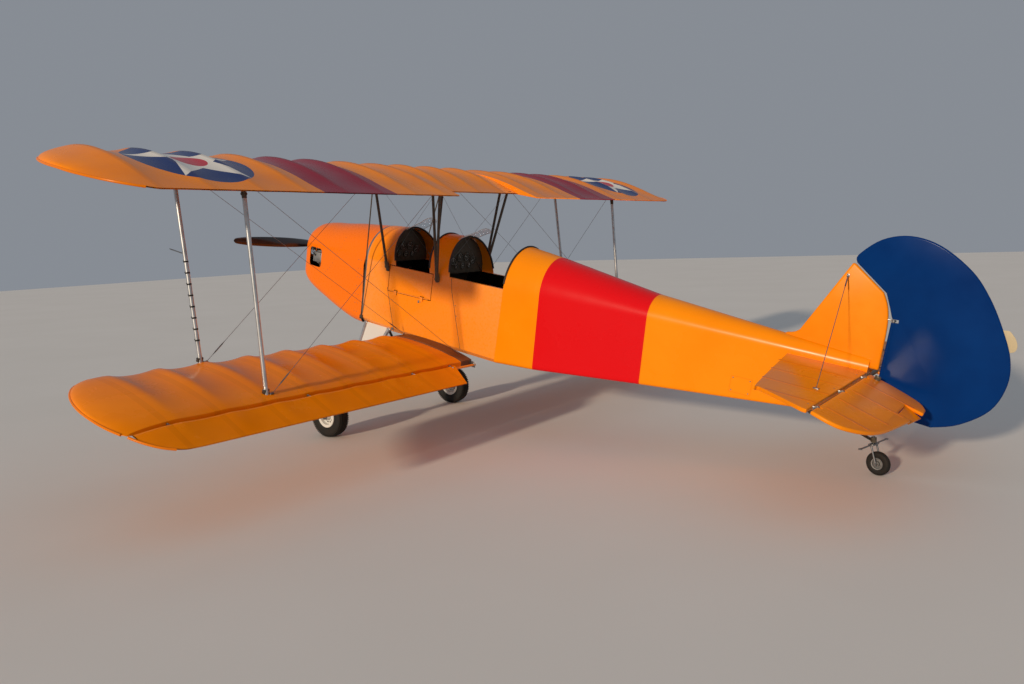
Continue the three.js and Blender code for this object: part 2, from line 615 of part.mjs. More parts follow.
// Heights are over the floor
const SEAT = { half: 215, deep: 400, padLow: 150, padHigh: 200 };
const BACK = { foot: 160, tall: 420, lean: 70, thick: 50 };
const RISER = { rear: 40, front: 360, inset: 30 };
function seat(backX) {
    const z = floorAt(backX);
    const { half } = SEAT;
    const pan = block(V(backX, -half, z + SEAT.padLow), V(backX + SEAT.deep, half, z + SEAT.padHigh));
    const riser = block(
        V(backX + RISER.rear, RISER.inset - half, z + TOUCH),
        V(backX + RISER.front, half - RISER.inset, z + BACK.foot));
    const back = loft([[0, 0], [-BACK.lean, BACK.tall]].map(([shift, up]) => {
        const level = z + BACK.foot + up;
        const [rear, front] = [backX + shift, backX + shift + BACK.thick];
        return [V(rear, -half, level), V(rear, half, level), V(front, half, level), V(front, -half, level)];
    }));
    return join(pan, riser, back);
}
const frontSeat = seat(3620);
const rearSeat = seat(2920);

const PANEL_THICK = 6;
function panel(x, d) {
    const blank = block(V(x, -BODY_HALF, stationAt(x).longeron), V(x + PANEL_THICK, BODY_HALF, 1000));
    return cut(common(blank, filledDeck(d, SKIN + TOUCH)), shifted(deck(d), 0, 0, -TOUCH));
}

// Control stick: foot boss, shaft and grip, with heights over the floor and how far aft each end leans
const STICK = { footR: 26, footTop: 40, shaftR: 10, shaftTop: 400, shaftLean: 20 };
const STICK_GRIP = { radius: 17, top: 500, lean: 28 };
function stick(x) {
    const z = floorAt(x);
    const bend = V(x - STICK.shaftLean, 0, z + STICK.shaftTop);
    const foot = rod(V(x, 0, z - 4), V(x, 0, z + STICK.footTop), STICK.footR, 12);
    const shaft = rod(V(x, 0, z + STICK.footTop - 10), bend, STICK.shaftR);
    const gripLow = V(bend.x, 0, bend.z - 10);
    const grip = rod(gripLow, V(x - STICK_GRIP.lean, 0, z + STICK_GRIP.top), STICK_GRIP.radius, 10);
    return cut(join(foot, shaft, grip), shifted(frontFuselage, 0, 0, TOUCH));
}

// A small curved sheet that leans back from its deck: the side view of its centre line, then its half width
const FRONT_SCREEN = { front: 4052, low: 858, rear: 3823, high: 1000, half: 150 };
const REAR_SCREEN = { front: 3470, low: 888, rear: 3241, high: 1006, half: 150 };
const SCREEN_THICK = 4;
function windscreen({ front, low, rear, high, half }, deckBelow) {
    const edge = (x, z, back, fall, inner) => {
        const points = [];
        for (let i = -5; i <= 5; i++) {
            const y = (i / 5) * (half - inner);
            points.push(V(x - back * y ** 2 - inner, y, z - fall * y ** 2 - inner));
        }
        return points;
    };
    const level = (x, z, back, fall) => [
        ...edge(x, z, back, fall, 0), ...edge(x, z, back, fall, SCREEN_THICK).reverse()];
    const sheet = loft([level(front + 40, low - 25, 0.001, 0.0021), level(rear, high, 0.0012, 0.0024)]);
    return cut(sheet, shifted(filledDeck(deckBelow), 0, 0, TOUCH));
}

// Struts and bracing. Each is cut by the surface that it stands on, moved by the touching gap.
const overLowerWing = shifted(lowerLeft, 0, 0, TOUCH);
const overFiller = shifted(rootFiller, 0, 0, TOUCH);
const underUpperWing = shifted(upperLeft, 0, 0, -TOUCH);
const underCentre = shifted(upperCentre, 0, 0, -TOUCH);

const lowerFront = (y) => V(3752, y, 10 + dihedralRise(y));
const lowerRear = (y) => V(3095, y, -20 + dihedralRise(y));
const upperFront = (y) => V(4138, y, UPPER.low + 40);
const upperRear = (y) => V(3425, y, UPPER.low + 24);

const interplane = (foot, head) => cut(rod(foot, head, STRUT_R, 12), overLowerWing, underUpperWing);
const frontStrut = interplane(lowerFront(BAY_FOOT_Y), upperFront(BAY_Y));
const rearStrut = interplane(lowerRear(BAY_FOOT_Y), upperRear(BAY_Y));

// The flying wire and the landing wire of the rear struts, which pass each other in the middle of the bay
const WIRE_END_OFF = 34;
const WIRE_SIDE_OFF = 6;
const CABANE_TOP_Y = 445;
const longeronFoot = (x, up) => V(x, BODY_HALF + CABANE_R + TOUCH + 2, stationAt(x).longeron + up);
const footPlate = (x, up) => block(
    V(x - 16, BODY_HALF + TOUCH, stationAt(x).longeron + up - 30),
    V(x + 16, BODY_HALF + CABANE_R, stationAt(x).longeron + up + 14));
const CABANE_FRONT_X = 4010;
const CABANE_REAR_X = 3466;
const frontCabane = cut(
    join(
        footPlate(CABANE_FRONT_X, -26),
        rod(longeronFoot(CABANE_FRONT_X, -34), V(4134, CABANE_TOP_Y, UPPER.low + 40), CABANE_R, 10),
        rod(V(4262, BODY_HALF + 8, 60), V(4134, CABANE_TOP_Y - 4, UPPER.low + 40), 5, 6),
        block(V(4246, BODY_HALF + TOUCH, 42), V(4278, BODY_HALF + 12, 76)),
    ),
    underCentre,
);
const rearCabane = cut(
    join(
        footPlate(CABANE_REAR_X, -26),
        rod(longeronFoot(CABANE_REAR_X, -34), V(3425, CABANE_TOP_Y, UPPER.low + 30), CABANE_R, 10),
        rod(longeronFoot(CABANE_REAR_X, -34), V(3500, CABANE_TOP_Y, UPPER.low + 30), CABANE_R, 10),
    ),
    underCentre,
);

const bracingWire = (low, high, side) => cut(
    rod(low.clone().add(V(side, 0, 0)), high.clone().add(V(side, 0, 0)), WIRE_R, 6),
    overLowerWing, overFiller, underUpperWing, underCentre);
const flyingWire = bracingWire(
    lowerRear(BODY_HALF + TOUCH + WIRE_R), upperRear(BAY_Y - WIRE_END_OFF), WIRE_SIDE_OFF);
const landingWire = bracingWire(
    lowerRear(BAY_FOOT_Y - WIRE_END_OFF), upperRear(CABANE_TOP_Y + WIRE_END_OFF), -WIRE_SIDE_OFF);

// Pitot tube, strapped to the front of the port front strut
const PITOT_R = 4;
const alongStrut = (share) => lowerFront(BAY_FOOT_Y).lerp(upperFront(BAY_Y), share)
    .add(V(STRUT_R + PITOT_R + TOUCH + 0.8, 0, 0));
const pitotTube = join(
    rod(alongStrut(0.1), alongStrut(0.56), PITOT_R, 8),
    rod(alongStrut(0.56).add(V(-1, 0, 0)), alongStrut(0.56).add(V(150, 0, 4)), PITOT_R, 8),
);

// Landing gear
const toAirframe = (parked) => parked.clone().applyAxisAngle(V(0, 1, 0), rad(PARK_PITCH));
const mainAxle = toAirframe(V(4082, TRACK_HALF, TYRE_R));
const LEG_END_Y = 700;
const legFront = V(4232, 262, 30);
const legRear = V(3950, 262, 32);
const legFoot = V(mainAxle.x, LEG_END_Y, mainAxle.z);
const fairing = loft([
    [legFront.clone().add(V(-4, 0, -4)), legRear.clone().add(V(4, 0, -4))],
    [legFoot.clone().add(V(16, 0, 20)), legFoot.clone().add(V(-16, 0, 20))],
].map(([a, b]) => [a, a.clone().add(V(0, 10, 3)), b.clone().add(V(0, 10, 3)), b]));
const BRACE_FOOT = V(mainAxle.x + 20, 0, -250);
const BRACE_PIN_R = 20;
const AXLE_R = 12;
const bracePin = (radius, half) => rod(
    V(BRACE_FOOT.x - half, 0, BRACE_FOOT.z), V(BRACE_FOOT.x + half, 0, BRACE_FOOT.z), radius, 12);
const LEG_R = 15;
const BRACE_R = 11;
const COLLAR_R = 22;
const AXLE_END_Y = TRACK_HALF + 66;
const alongAxle = (from, to, radius, sides) => rod(
    V(mainAxle.x, from, mainAxle.z), V(mainAxle.x, to, mainAxle.z), radius, sides);
const gearLeg = cut(
    join(
        rod(legFront, legFoot, LEG_R, 10),
        rod(legRear, legFoot, LEG_R, 10),
        fairing,
        rod(legFoot, BRACE_FOOT, BRACE_R, 8),
        alongAxle(LEG_END_Y - 20, AXLE_END_Y, AXLE_R, 16),
        alongAxle(LEG_END_Y - 18, LEG_END_Y + 22, COLLAR_R, 12),
        alongAxle(AXLE_END_Y - 16, AXLE_END_Y, COLLAR_R, 12),
    ),
    shifted(frontFuselage, 0, 0, -TOUCH),
    bracePin(BRACE_PIN_R + 2 * TOUCH, 60),
);
const gearBrace = cut(
    join(
        bracePin(BRACE_PIN_R, 30),
        ...[-1, 1].map((side) => rod(BRACE_FOOT, V(BRACE_FOOT.x, side * 190, 20), BRACE_R, 8)),
    ),
    shifted(frontFuselage, 0, 0, -TOUCH),
);

// Tyre and wheel profiles: radius and distance along the axle
const lathe = (profile, turns) => new THREE.LatheGeometry(
    [...profile, profile[0]].map(([r, y]) => new THREE.Vector2(r, y)), turns);
function tyre(radius, width, rimR, turns) {
    const half = width / 2;
    const bead = boreR(rimR + TOUCH, turns);
    const wall = (share) => mix(bead, radius, share);
    const side = [
        [bead, 0.74 * half],
        [wall(0.16), 0.76 * half],
        [wall(0.36), 0.96 * half],
        [wall(0.66), half],
        [wall(0.88), 0.78 * half],
        [radius, 0.3 * half],
    ];
    return lathe([...side.map(([r, y]) => [r, -y]), ...side.reverse()], turns);
}
function wheel(bore, rimR, half, flangeR, turns) {
    const edge = half + 5;
    const inboard = [
        [boreR(bore, turns), -edge],
        [bore + 16, -edge],
        [bore + 18, -10],
        [rimR - 10, -8],
        [rimR - 10, -edge],
        [flangeR, -edge],
        [flangeR, -half],
        [rimR, -half],
    ];
    return lathe([...inboard, ...inboard.map(([r, y]) => [r, -y]).reverse()], turns);
}
const BEAD_R = 78;
const mainTyre = tyre(TYRE_R, TYRE_WIDTH, BEAD_R, 32);
const mainWheel = wheel(AXLE_R + TOUCH, BEAD_R, 0.76 * TYRE_WIDTH / 2 + TOUCH, 92, 24);

// Tail
const TAIL_HINGE_GAP = 22;
const TAIL_HALF = 11;
const TAIL_EDGE = 5;
// Planform of the port tailplane with its elevator: X and Y
const tailOutline = [
    [718, 30], [700, 90], [556, 1050], [520, 1110], [438, 1160], [232, 1290], [100, 1300], [20, 1275],
    [-74, 1160], [-130, 980], [-172, 620], [-199, 340], [-193, 245], [-150, 165], [-75, 122], [46, 90],
    [174, 82], [260, 30],
];
const tailBlank = new THREE.ExtrudeGeometry(outlineOf(tailOutline), {
    depth: 2 * (TAIL_HALF - TAIL_EDGE), bevelEnabled: true, bevelThickness: TAIL_EDGE, bevelSize: TAIL_EDGE,
    bevelOffset: -TAIL_EDGE, bevelSegments: 1, steps: 1,
}).translate(0, 0, ELEVATOR_AXIS.z - TAIL_HALF + TAIL_EDGE);
const TAIL_LUG_YS = [200, 700, 1180];
const TAIL_LUG = { eyeR: 13, armHalf: 8, reach: 60, reliefR: 22 };
const TAIL_PIN_R = 7;
const aboutElevatorAxis = (y, reach, radius) => rod(
    onElevatorAxis(y - reach), onElevatorAxis(y + reach), radius, PIN_SIDES);
const tailLugs = TAIL_LUG_YS.map((y) => join(
    block(
        V(ELEVATOR_AXIS.x, y - LUG_HALF, ELEVATOR_AXIS.z - TAIL_LUG.armHalf),
        V(ELEVATOR_AXIS.x + TAIL_LUG.reach, y + LUG_HALF, ELEVATOR_AXIS.z + TAIL_LUG.armHalf)),
    aboutElevatorAxis(y, LUG_HALF, TAIL_LUG.eyeR),
));
const tailBores = TAIL_LUG_YS.map((y) => aboutElevatorAxis(y, 20, boreR(TAIL_PIN_R + TOUCH, PIN_SIDES)));
const aheadOfHinge = block(V(ELEVATOR_AXIS.x + TAIL_HINGE_GAP, 0, 500), V(900, 1400, 700));
const behindHinge = block(V(-300, 60, 500), V(ELEVATOR_AXIS.x + 2, 1400, 700));
const tailplane = cut(
    join(common(tailBlank, aheadOfHinge), ...tailLugs),
    ...tailBores, shifted(rearFuselage, 0, TOUCH, 0), rearFuselage);
const elevatorRelief = TAIL_LUG_YS.map((y) => aboutElevatorAxis(y, RELIEF_HALF, TAIL_LUG.reliefR));
const elevatorHalf = cut(
    join(common(tailBlank, behindHinge), rod(onElevatorAxis(96), onElevatorAxis(1270), 12, 12)),
    ...elevatorRelief);
const elevatorTube = join(
    rod(onElevatorAxis(-110), onElevatorAxis(110), TAIL_TUBE_R, 16),
    rod(onElevatorAxis(-1280), onElevatorAxis(1280), TAIL_PIN_R, 16),
);
const elevator = join(elevatorHalf, mirrored(elevatorHalf), elevatorTube);

const FIN_OUTLINE = [
    [764, 640], [764, 736], [722, 750], [675, 778], [438, 1258], [424, 1262], [224, 1117], [182, 1030],
    [161, 900], [157, 640],
];
const fin = cut(
    join(upright(outlineOf(FIN_OUTLINE), FIN_HALF, 6), rudderLug(RUDDER_LUG_ZS[2])),
    shifted(rearFuselage, 0, 0, TOUCH),
    rudderBore(700, 1100),
);

const RUDDER_HALF = 13;
const RUDDER_EDGE = 6;
const rudderOutline = new THREE.Shape()
    .moveTo(RUDDER_AXIS_X - 2, 392)
    .lineTo(RUDDER_AXIS_X - 2, 960)
    .lineTo(150, 978)
    .lineTo(171, 1030)
    .lineTo(209, 1116)
    .lineTo(414, 1266);
rudderOutline.splineThru([
    [416, 1316], [300, 1430], [145, 1479], [-30, 1450], [-219, 1337], [-340, 1204], [-440, 1044], [-512, 890],
    [-532, 735], [-480, 568], [-340, 438], [-199, 378],
].map(([x, z]) => new THREE.Vector2(x, z)));
const rudderBlank = new THREE.ExtrudeGeometry(rudderOutline, {
    depth: 2 * (RUDDER_HALF - RUDDER_EDGE), bevelEnabled: true, bevelThickness: RUDDER_EDGE,
    bevelSize: RUDDER_EDGE, bevelOffset: -RUDDER_EDGE, bevelSegments: 1, curveSegments: 3, steps: 1,
}).translate(0, 0, RUDDER_EDGE - RUDDER_HALF).rotateX(Math.PI / 2);
const RUDDER_RELIEF_R = 25;
const rudderRelief = RUDDER_LUG_ZS.map((z) => rod(
    onRudderAxis(z - RELIEF_HALF), onRudderAxis(z + RELIEF_HALF), RUDDER_RELIEF_R, PIN_SIDES));
const rudder = join(
    cut(join(rudderBlank, rod(onRudderAxis(396), onRudderAxis(985), RUDDER_HALF, 12)), ...rudderRelief),
    rod(onRudderAxis(398), onRudderAxis(984), RUDDER_PIN_R, 16),
);
const TAB_OUTLINE = [[-400, 1034], [-476, 1045], [-516, 1005], [-533, 965], [-527, 931], [-466, 908]];
const rudderTab = cut(upright(outlineOf(TAB_OUTLINE), 2, 0.5), shifted(rudder, -TOUCH, 0, 0));

const finStayTop = V(447, FIN_HALF + TOUCH + WIRE_R, 1178);
const tailStayFoot = V(300, 815, ELEVATOR_AXIS.z);
const tailStay = cut(
    join(
        rod(finStayTop, tailStayFoot, WIRE_R, 6),
        block(V(435, FIN_HALF + TOUCH, 1164), V(459, FIN_HALF + 8, 1192)),
    ),
    shifted(tailplane, 0, 0, TOUCH));

// Tail wheel: a leaf spring, a castoring fork and the wheel. The castor stands upright when parked, and it is
// turned a little to starboard.
const SWIVEL = V(50, 0, 200);
const TRAIL = 29;
const CASTOR_TURN = -13.6;
const swivel = toAirframe(SWIVEL);
const trailing = V(-TRAIL, 0, 0).applyAxisAngle(V(0, 0, 1), rad(CASTOR_TURN));
const tailAxle = toAirframe(V(SWIVEL.x + trailing.x, trailing.y, TAIL_TYRE_R));
const CASTOR_PIN_R = 8;
const onCastor = (geometry) => geometry.rotateY(rad(PARK_PITCH)).translate(swivel.x, 0, swivel.z);
const sleeve = onCastor(rod(V(0, 0, 5), V(0, 0, 36), 18, PIN_SIDES));
const sleeveBore = onCastor(rod(
    V(0, 0, -20), V(0, 0, 60), boreR(CASTOR_PIN_R + TOUCH, PIN_SIDES), PIN_SIDES));
const LEAF = { half: 21, thick: 9 };
const leaf = (x, z) => [
    V(x, -LEAF.half, z), V(x, LEAF.half, z),
    V(x + 2, LEAF.half, z - LEAF.thick), V(x + 2, -LEAF.half, z - LEAF.thick),
];
const springLeaf = loft([leaf(560, 290), leaf(440, 291), leaf(224, 240), leaf(swivel.x + 8, swivel.z + 18)]);
const tailSpring = cut(
    join(springLeaf, sleeve, block(V(420, -24, 262), V(520, 24, 318))),
    sleeveBore, shifted(rearFuselage, 0, 0, -TOUCH));
// Measured from the swivel: the crown that joins both arms, the steering arm on it, and the wheel's pin
const FORK = { armY: 35, armR: 6, crownHalf: 42, crownLow: -13, crownTop: -1, steerHalf: 176, steerR: 5 };
const forkMiddle = (FORK.crownLow + FORK.crownTop) / 2;
const forkPinZ = TAIL_TYRE_R - SWIVEL.z;
const forkArm = (y) => rod(V(0, y, forkMiddle), V(-TRAIL, y, forkPinZ), FORK.armR, 8);
const fork = join(
    rod(V(0, 0, -8), V(0, 0, 44), CASTOR_PIN_R, PIN_SIDES),
    block(V(-16, -FORK.crownHalf, FORK.crownLow), V(16, FORK.crownHalf, FORK.crownTop)),
    rod(V(0, -FORK.steerHalf, forkMiddle), V(0, FORK.steerHalf, forkMiddle), FORK.steerR, 8),
    forkArm(-FORK.armY),
    forkArm(FORK.armY),
    rod(V(-TRAIL, -FORK.crownHalf, forkPinZ), V(-TRAIL, FORK.crownHalf, forkPinZ), FORK.armR, PIN_SIDES),
);
const TAIL_TYRE_WIDTH = 44;
const TAIL_BEAD_R = 34;
const tailTyre = tyre(TAIL_TYRE_R, TAIL_TYRE_WIDTH, TAIL_BEAD_R, 20);
const tailWheel = wheel(FORK.armR + TOUCH, TAIL_BEAD_R, 0.76 * TAIL_TYRE_WIDTH / 2 + TOUCH, 39, 16);

// Assembly
const craft = new THREE.Group();
craft.name = 'airframe';

function add(parent, name, geometry, material) {
    const mesh = new THREE.Mesh(geometry, material);
    mesh.name = name;
    parent.add(mesh);
    return mesh;
}

function pivot(name, place, turn = V(0, 0, 0)) {
    const group = new THREE.Group();
    group.name = name;
    group.position.copy(place);
    group.rotation.set(turn.x, turn.y, turn.z);
    craft.add(group);
    return group;
}

// Puts a piece that was modelled in place under its pivot
const hung = (geometry, place) => geometry.clone().translate(-place.x, -place.y, -place.z);

add(craft, 'rear_fuselage', rearFuselage, ORANGE);
add(craft, 'front_fuselage', frontFuselage, ORANGE);
add(craft, 'firewall', firewall, STEEL);
add(craft, 'front_deck', frontDeck, ORANGE);
add(craft, 'mid_deck', midDeck, ORANGE);
add(craft, 'cowl', cowl, COWL_ORANGE);
add(craft, 'windscreen_front', windscreen(FRONT_SCREEN, FRONT_DECK), CLEAR);
add(craft, 'windscreen_rear', windscreen(REAR_SCREEN, MID_DECK), CLEAR);
add(craft, 'engine', engine, DARK_STEEL);
add(craft, 'upper_wing_centre', upperCentre, ORANGE);
add(craft, 'seat_front', frontSeat, BLACK);
add(craft, 'seat_rear', rearSeat, BLACK);
add(craft, 'panel_front', panel(4100, FRONT_DECK), TRIM);
add(craft, 'panel_rear', panel(3470, MID_DECK), TRIM);
add(craft, 'stick_front', stick(4060), DARK_STEEL);
add(craft, 'stick_rear', stick(3400), DARK_STEEL);
add(craft, 'gear_brace', gearBrace, DARK_STEEL);
add(craft, 'fin', fin, ORANGE);
add(craft, 'pitot_tube', pitotTube, STEEL);
add(craft, 'tail_spring', tailSpring, DARK_STEEL);

const PAIRS = {
    upper_wing: [upperLeft, ORANGE],
    lower_wing: [lowerLeft, ORANGE],
    root_filler: [rootFiller, ORANGE],
    front_strut: [frontStrut, SILVER],
    rear_strut: [rearStrut, SILVER],
    front_cabane: [frontCabane, DARK_STEEL],
    rear_cabane: [rearCabane, DARK_STEEL],
    flying_wire: [flyingWire, STEEL],
    landing_wire: [landingWire, STEEL],
    gear_leg: [gearLeg, WHITE],
    tailplane: [tailplane, ORANGE],
    tail_stay: [tailStay, STEEL],
};
for (const [name, [geometry, material]] of Object.entries(PAIRS)) {
    add(craft, `${name}_left`, geometry, material);
    add(craft, `${name}_right`, mirrored(geometry), material);
}

for (const [side, word] of [[1, 'left'], [-1, 'right']]) {
    const handed = (geometry) => (side > 0 ? geometry : mirrored(geometry));
    const hub = V(mainAxle.x, side * TRACK_HALF, mainAxle.z);
    const wheelPivot = pivot(`wheel_${word}_pivot`, hub, V(0, rad(PARK_PITCH), 0));
    add(wheelPivot, `main_tyre_${word}`, mainTyre, RUBBER);
    add(wheelPivot, `main_wheel_${word}`, mainWheel, WHITE);
    const hinge = V(AILERON_AXIS_X, 0, AILERON_AXIS_Z);
    const aileronPivot = pivot(`aileron_${word}_pivot`, hinge, V(side * rad(LOWER.dihedral), 0, 0));
    const level = handed(hung(aileron, hinge)).clone().rotateX(-side * rad(LOWER.dihedral));
    level.rotateY(-side * rad(AILERON_DROOP));
    add(aileronPivot, `aileron_${word}`, level, ORANGE);
}

const elevatorPivot = pivot('elevator_pivot', ELEVATOR_AXIS);
elevatorPivot.rotation.y = -rad(ELEVATOR_DROOP);
add(elevatorPivot, 'elevator', hung(elevator, ELEVATOR_AXIS), ORANGE);

const rudderPivot = pivot('rudder_pivot', V(RUDDER_AXIS_X, 0, 0));
add(rudderPivot, 'rudder', hung(rudder, V(RUDDER_AXIS_X, 0, 0)), BLUE);
add(rudderPivot, 'rudder_tab', hung(rudderTab, V(RUDDER_AXIS_X, 0, 0)), CREAM);

const propPivot = pivot('propeller_pivot', V(PROP_X, 0, THRUST_Z), V(-rad(PROP_TURN), 0, 0));
add(propPivot, 'propeller', propeller, DARK_WOOD);

const doorPivot = pivot('door_pivot', doorHingeAt(DOOR.rear));
add(doorPivot, 'access_door', hung(door, doorHingeAt(DOOR.rear)), ORANGE);

const castorTurn = V(0, rad(PARK_PITCH), rad(CASTOR_TURN));
const forkPivot = pivot('fork_pivot', swivel, castorTurn);
add(forkPivot, 'tail_fork', fork, STEEL);
const tailWheelPivot = pivot('tail_wheel_pivot', tailAxle, castorTurn);
add(tailWheelPivot, 'tail_tyre', tailTyre, RUBBER);
add(tailWheelPivot, 'tail_wheel', tailWheel, STEEL);

craft.rotation.y = -rad(PARK_PITCH);
const extent = new THREE.Box3().setFromObject(craft, true);
craft.position.set(-(extent.min.x + extent.max.x) / 2, 0, -extent.min.z);

const parked = new THREE.Group();
parked.add(craft);
parked.updateMatrixWorld(true);

export default parked;
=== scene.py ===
import json
import math

import bpy
from mathutils import Matrix, Vector


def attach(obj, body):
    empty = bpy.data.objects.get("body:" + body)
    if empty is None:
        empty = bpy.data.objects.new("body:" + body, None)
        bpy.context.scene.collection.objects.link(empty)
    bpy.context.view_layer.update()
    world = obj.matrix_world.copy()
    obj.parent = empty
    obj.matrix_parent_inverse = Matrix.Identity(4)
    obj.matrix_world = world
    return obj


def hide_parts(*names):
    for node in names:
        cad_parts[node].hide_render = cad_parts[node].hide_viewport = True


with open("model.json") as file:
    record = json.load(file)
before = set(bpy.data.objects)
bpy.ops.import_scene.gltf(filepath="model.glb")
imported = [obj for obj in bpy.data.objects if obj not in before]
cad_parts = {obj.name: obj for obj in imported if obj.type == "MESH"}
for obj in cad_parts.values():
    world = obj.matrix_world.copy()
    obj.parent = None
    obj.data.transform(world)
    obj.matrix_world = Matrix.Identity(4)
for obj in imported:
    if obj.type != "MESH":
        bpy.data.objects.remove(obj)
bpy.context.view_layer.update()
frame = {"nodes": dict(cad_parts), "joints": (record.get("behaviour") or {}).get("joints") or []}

# Airframe places are in millimetres: X forward along the wing chord, Y to port, Z up from the ground under
# the tail wheel.
PROP_X, AXIS_Z = 5210, 520
JOINTS = {joint["name"]: joint for joint in frame["joints"]}
FORWARD = Vector(JOINTS["propeller_spin"]["axis"])
UPWARD = Vector(JOINTS["rudder_hinge"]["axis"])
PORT = Vector((0, 1, 0))
ORIGIN = Vector(JOINTS["propeller_spin"]["pos_m"]) - PROP_X / 1000 * FORWARD - AXIS_Z / 1000 * UPWARD
FLIGHT = Matrix.Translation(ORIGIN) @ Matrix((FORWARD, PORT, UPWARD)).transposed().to_4x4()
TO_PARKED = FLIGHT @ Matrix.Scale(0.001, 4)
PARK_PITCH = math.atan2(FORWARD.z, FORWARD.x)


EYE = (-3.377, 5.592, 1.563)
YAW, DIP, ROLL = -54.49, 5.42, -2.30
LENS, SENSOR, SHIFT = 30.41, 36, -0.0218


def camera():
    """The camera stands behind and to port, at a grown person's eye height, as fitted to the photo."""
    yaw, dip, roll = (math.radians(turn) for turn in (YAW, DIP, ROLL))
    look = Vector((math.cos(yaw) * math.cos(dip), math.sin(yaw) * math.cos(dip), -math.sin(dip)))
    level = Vector((math.sin(yaw), -math.cos(yaw), 0))
    over = level.cross(look)
    right = math.cos(roll) * level + math.sin(roll) * over
    up = math.cos(roll) * over - math.sin(roll) * level
    lens = bpy.data.cameras.new("camera")
    lens.lens, lens.sensor_width, lens.shift_y = LENS, SENSOR, SHIFT
    eye = bpy.data.objects.new("camera", lens)
    bpy.context.scene.collection.objects.link(eye)
    turn = Matrix((right, up, -look)).transposed().to_4x4()
    eye.matrix_world = Matrix.Translation(EYE) @ turn
    bpy.context.scene.camera = eye


camera()


# Working with pieces

def deselect():
    if bpy.context.object and bpy.context.object.mode != "OBJECT":
        bpy.ops.object.mode_set(mode="OBJECT")
    bpy.ops.object.select_all(action="DESELECT")


def pick(piece):
    deselect()
    piece.select_set(True)
    bpy.context.view_layer.objects.active = piece
    return piece


def edit(piece, mode="VERT"):
    """Opens a piece for editing with nothing selected."""
    pick(piece)
    bpy.ops.object.mode_set(mode="EDIT")
    bpy.ops.mesh.select_mode(type=mode)
    bpy.ops.mesh.select_all(action="DESELECT")


def close(piece):
    """Turns every face of an open piece outwards and leaves edit mode."""
    bpy.ops.mesh.select_all(action="SELECT")
    bpy.ops.mesh.normals_make_consistent(inside=False)
    bpy.ops.object.mode_set(mode="OBJECT")
    return piece


def named(name):
    piece = bpy.context.object
    piece.name = piece.data.name = name
    return piece


def settle(piece, *moves):
    """Puts the object's own turn and place, and then further moves, into its mesh."""
    bpy.context.view_layer.update()
    piece.data.transform(piece.matrix_basis)
    piece.matrix_basis = Matrix.Identity(4)
    for move in moves:
        piece.data.transform(move)
    return piece


def finish_with(piece, kind, **settings):
    """Adds a modifier and applies it."""
    pick(piece)
    modifier = piece.modifiers.new(kind.lower(), kind)
    for setting, value in settings.items():
        setattr(modifier, setting, value)
    bpy.ops.object.modifier_apply(modifier=modifier.name)
    return piece


def soften(piece, width, segments=2, angle=35):
    return finish_with(piece, "BEVEL", width=width, segments=segments, limit_method="ANGLE",
                       angle_limit=math.radians(angle), harden_normals=False)


def smooth(piece, angle=35):
    pick(piece)
    bpy.ops.object.shade_smooth_by_angle(angle=math.radians(angle))
    return piece


def copied(piece, name, *moves):
    """A copy with its own mesh, moved in airframe millimetres."""
    twin = piece.copy()
    twin.data = piece.data.copy()
    twin.name = twin.data.name = name
    bpy.context.scene.collection.objects.link(twin)
    for move in moves:
        twin.data.transform(move)
    if any(move.to_3x3().determinant() < 0 for move in moves):
        twin.data.flip_normals()
    return twin


def joined(name, pieces):
    pick(pieces[0])
    for piece in pieces:
        piece.select_set(True)
    if len(pieces) > 1:
        bpy.ops.object.join()
    return named(name)


def fit(piece, finish, body, slot, *stands_for, angle=35):
    """Shades a finished piece, moves it into the parked frame in metres and hangs it on its body."""
    smooth(settle(piece), angle)
    piece.data.transform(TO_PARKED)
    piece.data.materials.clear()
    piece.data.materials.append(finish)
    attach(piece, body)
    if stands_for:
        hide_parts(*stands_for)
    return piece


MIRROR = Matrix.Scale(-1, 4, (0, 1, 0))
SIDES = (("left", 1), ("right", -1))


def fit_pair(piece, name, finish, body, slot, *nodes, angle=35):
    """Fits a port piece and its mirrored starboard twin, each standing for its side's nodes."""
    twin = copied(settle(piece), f"{name}_right", MIRROR)
    piece.name = piece.data.name = f"{name}_left"
    for each, (side, _) in zip((piece, twin), SIDES):
        fit(each, finish, body, slot, *(f"{node}_{side}" for node in nodes), angle=angle)


def both(pieces, name):
    """The port pieces and their mirrored copies as one piece."""
    port = joined(name, pieces)
    return joined(name, [port, copied(port, "twin", MIRROR)])


def on_line(start, end, share):
    return Vector(start).lerp(Vector(end), share)


def tube(start, end, radius, sides=16, end_radius=None):
    """A round tube or cone between two places."""
    start, end = Vector(start), Vector(end)
    deselect()
    bpy.ops.mesh.primitive_cone_add(
        vertices=sides, radius1=radius, radius2=radius if end_radius is None else end_radius,
        depth=(end - start).length, location=(start + end) / 2,
        rotation=(end - start).to_track_quat("Z", "Y").to_euler())
    return settle(bpy.context.object)


def box(low, high, soft=0.0, segments=2):
    """A block between two corners with its edges softened."""
    low, high = Vector(low), Vector(high)
    deselect()
    bpy.ops.mesh.primitive_cube_add(size=1, location=(low + high) / 2)
    piece = bpy.context.object
    piece.scale = high - low
    settle(piece)
    return soften(piece, soft, segments) if soft else piece


def ball(place, radius):
    deselect()
    bpy.ops.mesh.primitive_uv_sphere_add(segments=12, ring_count=8, radius=radius, location=place)
    return settle(bpy.context.object)


def ring(count, radius, first=0.0):
    """Places evenly round a circle, as pairs, with the first one a share of a step past the start."""
    turns = [math.tau * (k + first) / count for k in range(count)]
    return [(radius * math.cos(turn), radius * math.sin(turn)) for turn in turns]


